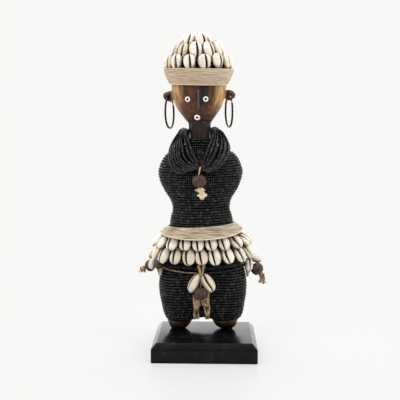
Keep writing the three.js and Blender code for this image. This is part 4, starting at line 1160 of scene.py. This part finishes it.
def noise_at(tree, scale, stretch=(1, 1, 1), detail=3.0):
    """A noise of so many waves in a metre of the object, squeezed or stretched along its axes."""
    place = add_node(tree, "ShaderNodeTexCoord")
    mapping = add_node(tree, "ShaderNodeMapping")
    mapping.inputs["Scale"].default_value = [scale * k for k in stretch]
    texture = add_node(tree, "ShaderNodeTexNoise")
    texture.inputs["Scale"].default_value = 1
    texture.inputs["Detail"].default_value = detail
    tree.links.new(place.outputs["Object"], mapping.inputs["Vector"])
    tree.links.new(mapping.outputs["Vector"], texture.inputs["Vector"])
    return texture.outputs["Fac"]


def ramp(tree, value, stops):
    """Colours or greys along a value: each stop is its place and its colour."""
    node = add_node(tree, "ShaderNodeValToRGB")
    while len(node.color_ramp.elements) < len(stops):
        node.color_ramp.elements.new(0.5)
    for element, (position, colour) in zip(node.color_ramp.elements, stops):
        element.position = position
        element.color = (*colour, 1) if hasattr(colour, "__len__") else (colour, colour, colour, 1)
    tree.links.new(value, node.inputs["Fac"])
    return node.outputs["Color"]


def mixed(tree, share, a, b):
    """Two colours mixed by a share. Each is an output or a plain colour."""
    node = add_node(tree, "ShaderNodeMix", data_type="RGBA")
    tree.links.new(share, node.inputs["Factor"])
    for socket, value in ((node.inputs[6], a), (node.inputs[7], b)):
        if isinstance(value, bpy.types.NodeSocket):
            tree.links.new(value, socket)
        else:
            socket.default_value = (*value, 1)
    return node.outputs[2]


def times(tree, a, b):
    """The product of an output with an output or a number."""
    node = add_node(tree, "ShaderNodeMath", operation="MULTIPLY")
    tree.links.new(a, node.inputs[0])
    if isinstance(b, bpy.types.NodeSocket):
        tree.links.new(b, node.inputs[1])
    else:
        node.inputs[1].default_value = b
    return node.outputs[0]


def attribute(tree, name):
    return add_node(tree, "ShaderNodeAttribute", attribute_name=name).outputs["Fac"]


def bump(tree, shader, value, distance, strength):
    node = add_node(tree, "ShaderNodeBump")
    node.inputs["Distance"].default_value = distance * MM
    node.inputs["Strength"].default_value = strength
    tree.links.new(value, node.inputs["Height"])
    tree.links.new(node.outputs["Normal"], shader.inputs["Normal"])


def bead_material():
    """Black glass, in tints from clean and glossy to pale and dull. The palest are partly dusty beads and
    partly painted glints, and the darkest also serve as painted shade.
    """
    material, tree, shader = new_material("black_beads", (0.01, 0.01, 0.012), 0.16, Specular_IOR_Level=0.45)
    tint = attribute(tree, "tint")
    # Palest tints: partly dust, partly painted glints. Darkest tints: also painted shade on lower strands
    body = ramp(tree, tint, [
        (0, (0.002, 0.002, 0.003)), (0.5, (0.007, 0.007, 0.008)), (0.8, (0.022, 0.023, 0.023)),
        (1, (0.062, 0.063, 0.06)),
    ])
    tree.links.new(body, shader.inputs["Base Color"])
    rough = ramp(tree, tint, [(0, 0.1), (0.8, 0.2), (1, 0.4)])
    tree.links.new(rough, shader.inputs["Roughness"])
    return material


def shell_material():
    """Ivory shell with blotches and stains, painted shade along the rim and back, and a slit painted
    near-black as shade.
    """
    material, tree, shader = new_material(
        "cowrie_shell", (0.8, 0.73, 0.6), 0.35, Coat_Weight=0.2, Coat_Roughness=0.25
    )
    mark = attribute(tree, "mark")
    base = ramp(tree, attribute(tree, "tint"), [
        (0, (0.68, 0.58, 0.44)), (0.35, (0.78, 0.71, 0.60)), (0.7, (0.84, 0.80, 0.71)),
        (1, (0.66, 0.59, 0.49)),
    ])
    blotch = ramp(tree, noise_at(tree, 150), [(0.45, 0), (0.72, 0.6)])
    base = mixed(tree, blotch, base, (0.60, 0.50, 0.37))
    stain = ramp(tree, noise_at(tree, 110, detail=2), [(0.66, 0), (0.75, 0.6)])
    base = mixed(tree, stain, base, (0.30, 0.26, 0.20))
    # Painted shade along the rim and over the back of each shell
    rim_shade = ramp(tree, mark, [(0.05, 0), (0.4, 0.85)])
    base = mixed(tree, rim_shade, base, (0.20, 0.13, 0.07))
    # The slit is painted near-black: painted shade in the opening of the shell
    slit = ramp(tree, mark, [(0.42, 0), (0.6, 1)])
    base = mixed(tree, slit, base, (0.014, 0.008, 0.005))
    tree.links.new(base, shader.inputs["Base Color"])
    bump(tree, shader, noise_at(tree, 600), 0.1, 0.25)
    return material


def fibre_material():
    """Wound plant fibre, with a painted highlight along both edges. The mark makes it rougher and darker."""
    material, tree, shader = new_material("plant_fibre", (0.46, 0.36, 0.25), 0.8, Specular_IOR_Level=0.3)
    fine = noise_at(tree, 60, (1, 1, 24), 6)
    base = ramp(tree, fine, [
        (0.34, (0.32, 0.24, 0.16)), (0.44, (0.46, 0.36, 0.27)), (0.56, (0.56, 0.46, 0.34)),
        (0.68, (0.70, 0.61, 0.49)),
    ])
    worn = ramp(tree, noise_at(tree, 45, (1, 1, 6)), [(0.4, 0), (0.62, 0.6)])
    base = mixed(tree, worn, base, (0.50, 0.39, 0.27))
    fleck = ramp(tree, noise_at(tree, 170, (1, 1, 9), 2), [(0.62, 0), (0.7, 0.4)])
    base = mixed(tree, fleck, base, (0.22, 0.13, 0.07))
    rough = ramp(tree, fine, [
        (0.38, (0.17, 0.14, 0.09)), (0.5, (0.36, 0.30, 0.21)), (0.64, (0.62, 0.55, 0.43)),
    ])
    base = mixed(tree, attribute(tree, "mark"), base, rough)
    # Painted highlight: paler along the foot and the top of the band
    edge = ramp(tree, attribute(tree, "tint"), [(0, 0.8), (0.05, 0.8), (0.08, 0), (0.93, 0), (0.97, 0.6)])
    base = mixed(tree, edge, base, (0.70, 0.61, 0.47))
    tree.links.new(base, shader.inputs["Base Color"])
    bump(tree, shader, fine, 0.2, 0.8)
    return material


def wood_material():
    """Oiled wood: red to golden by tint, darkened by the mark, and painted with a grey highlight where the
    tint is below 0, on the crest of the nose.
    """
    material, tree, shader = new_material("carved_wood", (0.16, 0.07, 0.03), 0.42, Specular_IOR_Level=0.3)
    tint = attribute(tree, "tint")
    grain = noise_at(tree, 420, (1, 1, 0.16), 4)
    red = ramp(tree, grain, [
        (0.3, (0.055, 0.022, 0.012)), (0.5, (0.115, 0.045, 0.023)), (0.72, (0.17, 0.072, 0.034)),
    ])
    golden = ramp(tree, grain, [
        (0.3, (0.25, 0.13, 0.05)), (0.5, (0.44, 0.26, 0.11)), (0.7, (0.60, 0.39, 0.19)),
    ])
    deep = ramp(tree, grain, [(0.3, (0.014, 0.011, 0.010)), (0.7, (0.047, 0.035, 0.030))])
    base = mixed(tree, tint, red, golden)
    base = mixed(tree, attribute(tree, "mark"), base, deep)
    # Painted highlight: grey on the crest of the nose, where the tint is below 0
    nose_highlight = ramp(tree, times(tree, tint, -1), [(0, 0), (1, 1)])
    base = mixed(tree, nose_highlight, base, (0.11, 0.09, 0.08))
    tree.links.new(base, shader.inputs["Base Color"])
    bump(tree, shader, grain, 0.18, 0.5)
    return material


def lacquer_material():
    """Black lacquer with worn spots."""
    material, tree, shader = new_material(
        "lacquered_stand", (0.007, 0.008, 0.011), 0.15, Specular_IOR_Level=0.23
    )
    base = ramp(tree, noise_at(tree, 90, detail=4), [
        (0.45, (0.006, 0.0065, 0.008)), (0.62, (0.012, 0.011, 0.01)), (0.72, (0.06, 0.05, 0.04)),
    ])
    tree.links.new(base, shader.inputs["Base Color"])
    rough = ramp(tree, noise_at(tree, 40), [(0.35, 0.12), (0.65, 0.24)])
    tree.links.new(rough, shader.inputs["Roughness"])
    bump(tree, shader, noise_at(tree, 55, detail=2), 0.25, 0.25)
    return material


def wire_material():
    """Blackened iron, with a painted highlight near the end that passes in front of the ear."""
    material, tree, shader = new_material("blackened_wire", (0.03, 0.024, 0.02), 0.4, Metallic=0.6)
    # A painted highlight on part of the wire
    bright = ramp(tree, attribute(tree, "tint"), [(0.855, 0), (0.87, 1), (0.94, 1), (0.955, 0)])
    dark = ramp(tree, noise_at(tree, 200), [(0.35, (0.012, 0.01, 0.008)), (0.65, (0.05, 0.04, 0.03))])
    tree.links.new(mixed(tree, bright, dark, (0.5, 0.45, 0.38)), shader.inputs["Base Color"])
    return material


def plain_varied(name, dark, pale, roughness, scale, stretch=(1, 1, 1), depth=0.2):
    """A material of two colours mixed by noise, with that noise as its relief. The mark darkens it."""
    material, tree, shader = new_material(name, pale, roughness)
    value = noise_at(tree, scale, stretch, 5)
    base = mixed(tree, attribute(tree, "mark"), ramp(tree, value, [(0.35, dark), (0.65, pale)]), dark)
    tree.links.new(base, shader.inputs["Base Color"])
    bump(tree, shader, value, depth, 0.7)
    return material


MATERIALS = {
    "black_beads": bead_material(),
    "cowrie_shell": shell_material(),
    "plant_fibre": fibre_material(),
    "carved_wood": wood_material(),
    "lacquered_stand": lacquer_material(),
    "tan_hide": plain_varied("tan_hide", (0.16, 0.09, 0.045), (0.62, 0.48, 0.31), 0.7, 350, (1, 1, 0.3)),
    "cream_cord": plain_varied("cream_cord", (0.5, 0.38, 0.22), (0.82, 0.72, 0.54), 0.75, 400),
    "seed_bead": plain_varied(
        "seed_bead", (0.027, 0.014, 0.01), (0.102, 0.058, 0.042), 0.55, 420, (1, 1, 0.6)
    ),
    "dark_cap": plain_varied("dark_cap", (0.006, 0.004, 0.003), (0.03, 0.018, 0.012), 0.9, 500),
    "white_ring_beads": plain_varied(
        "white_ring_beads", (0.84, 0.81, 0.74), (0.93, 0.92, 0.89), 0.25, 300, depth=0.03
    ),
    "blackened_wire": wire_material(),
}


# Camera, floor and light

CAMERA = {"place": (12.1, -687.1, 213.2), "yaw": 1.45, "pitch": 5.16, "roll": 0.11, "lens": 63, "sensor": 36}
# From here on lengths are metres. The floor fades with distance into the room seen behind it.
FLOOR = {
    "reach": 3, "fades_from": 0.07, "fades_to": 0.3, "least_fade": 0.62,
    "lit": (0.66, 0.66, 0.65), "seen": (0.5, 0.5, 0.495),
}
ROOM = {"dark": 0.06, "bright": 1.6, "dark_to": -0.9, "bright_from": 0.7, "seen": (0.785, 0.785, 0.772)}
# Lights: place, aim, size and power
LIGHTS = {
    "soft_box_left": ((-0.9, -0.8, 1.1), (0, 0, 0.15), (0.8, 0.8), 7.4),
    "soft_box_right": ((1.0, -0.6, 0.9), (0, 0, 0.15), (0.7, 0.9), 5.8),
    "soft_box_top": ((0, 0.2, 1.4), (0, 0, 0), (1.2, 1.2), 6),
    "lamp_left": ((-0.8, -1.1, 0.9), (0, 0, 0.2), (0.14, 0.14), 1.7),
    "lamp_right": ((0.9, -1.0, 0.8), (0, 0, 0.2), (0.14, 0.14), 1.3),
}


def camera():
    data = bpy.data.cameras.new("photo_view")
    data.lens, data.sensor_width, data.sensor_fit = CAMERA["lens"], CAMERA["sensor"], "HORIZONTAL"
    yaw, pitch, roll = (math.radians(CAMERA[key]) for key in ("yaw", "pitch", "roll"))
    forward = Vector((-math.sin(yaw) * math.cos(pitch), math.cos(yaw) * math.cos(pitch), -math.sin(pitch)))
    level = Vector((math.cos(yaw), math.sin(yaw), 0))
    raised = level.cross(forward)
    right = math.cos(roll) * level + math.sin(roll) * raised
    up = -math.sin(roll) * level + math.cos(roll) * raised
    aim = Matrix((right, up, -forward)).transposed().to_4x4()
    shown = bpy.data.objects.new("photo_view", data)
    shown.matrix_world = Matrix.Translation(Vector(CAMERA["place"]) * MM) @ aim
    bpy.context.scene.collection.objects.link(shown)
    bpy.context.scene.camera = shown


def floor():
    """A pale floor. The camera sees it darker than it lights the doll, and partly clear."""
    reach = FLOOR["reach"]
    corners = [(-reach, -reach, 0), (reach, -reach, 0), (reach, reach, 0), (-reach, reach, 0)]
    mesh = bpy.data.meshes.new("floor")
    mesh.from_pydata(corners, [], [(0, 1, 2, 3)])
    material, tree, shader = new_material("floor", FLOOR["lit"], 0.25, Specular_IOR_Level=0.06)
    sight = add_node(tree, "ShaderNodeLightPath").outputs["Is Camera Ray"]
    tree.links.new(mixed(tree, sight, FLOOR["lit"], FLOOR["seen"]), shader.inputs["Base Color"])
    tree.links.new(ramp(tree, noise_at(tree, 3), [(0.3, 0.24), (0.7, 0.3)]), shader.inputs["Roughness"])
    place = add_node(tree, "ShaderNodeTexCoord")
    length = add_node(tree, "ShaderNodeVectorMath", operation="LENGTH")
    tree.links.new(place.outputs["Object"], length.inputs[0])
    fade = add_node(tree, "ShaderNodeMapRange", interpolation_type="SMOOTHSTEP")
    fade.inputs["From Min"].default_value = FLOOR["fades_from"]
    fade.inputs["From Max"].default_value = FLOOR["fades_to"]
    fade.inputs["To Min"].default_value = FLOOR["least_fade"]
    tree.links.new(length.outputs["Value"], fade.inputs["Value"])
    clear = add_node(tree, "ShaderNodeBsdfTransparent")
    join = add_node(tree, "ShaderNodeMixShader")
    tree.links.new(times(tree, fade.outputs["Result"], sight), join.inputs["Fac"])
    tree.links.new(shader.outputs["BSDF"], join.inputs[1])
    tree.links.new(clear.outputs["BSDF"], join.inputs[2])
    tree.links.new(join.outputs["Shader"], tree.nodes["Material Output"].inputs["Surface"])
    mesh.materials.append(material)
    shown = bpy.data.objects.new("floor", mesh)
    bpy.context.scene.collection.objects.link(shown)


def room():
    """A room that lights the doll brightly from the back and dimly from the front, seen as one plain
    colour."""
    scene = bpy.context.scene
    scene.view_settings.view_transform = "Standard"
    scene.view_settings.look = "Medium High Contrast"
    scene.world = bpy.data.worlds.new("room")
    scene.world.use_nodes = True
    tree = scene.world.node_tree
    place = add_node(tree, "ShaderNodeTexCoord")
    parts = add_node(tree, "ShaderNodeSeparateXYZ")
    tree.links.new(place.outputs["Generated"], parts.inputs["Vector"])
    back = add_node(tree, "ShaderNodeMapRange")
    back.inputs["From Min"].default_value = ROOM["dark_to"]
    back.inputs["From Max"].default_value = ROOM["bright_from"]
    back.inputs["To Min"].default_value = ROOM["dark"]
    back.inputs["To Max"].default_value = ROOM["bright"]
    tree.links.new(parts.outputs["Y"], back.inputs["Value"])
    sight = add_node(tree, "ShaderNodeLightPath").outputs["Is Camera Ray"]
    colour = mixed(tree, sight, back.outputs["Result"], ROOM["seen"])
    tree.links.new(colour, tree.nodes["Background"].inputs["Color"])


def area_light(name, place, aim, size, power):
    data = bpy.data.lights.new(name, "AREA")
    data.shape, data.size, data.size_y, data.energy = "RECTANGLE", size[0], size[1], power
    shown = bpy.data.objects.new(name, data)
    shown.location = place
    shown.rotation_euler = (Vector(aim) - Vector(place)).to_track_quat("-Z", "Y").to_euler()
    shown.visible_camera = False
    bpy.context.scene.collection.objects.link(shown)


camera()
floor()
room()
for name, values in LIGHTS.items():
    area_light(name, *values)
stand()
wooden_figure()
torso_beads()
hip_beads()
for ring in FACE_RINGS:
    face_ring(*ring)
earring("earring_left", -1)
earring("earring_right", 1)
hat_cap()
hat_band()
for row in HAT_ROWS:
    hat_row(*row)
skirt_band()
for row in SKIRT_ROWS:
    skirt_row(*row)
necklace_strands()
hip_strands()
waist_thong()
for number, strip in enumerate(LOIN_STRIPS, 1):
    loin_strip(f"loin_strip_{number}", *strip)
for name, values in HUNG_COWRIES.items():
    hung_cowrie(name, *values)
for name, values in SEED_BEADS.items():
    seed_bead(name, *values)
for name, values in PENDANT_CORDS.items():
    pendant_cord(name, **values)
for name, stations in HIP_STRAPS.items():
    hip_strap(name, stations)
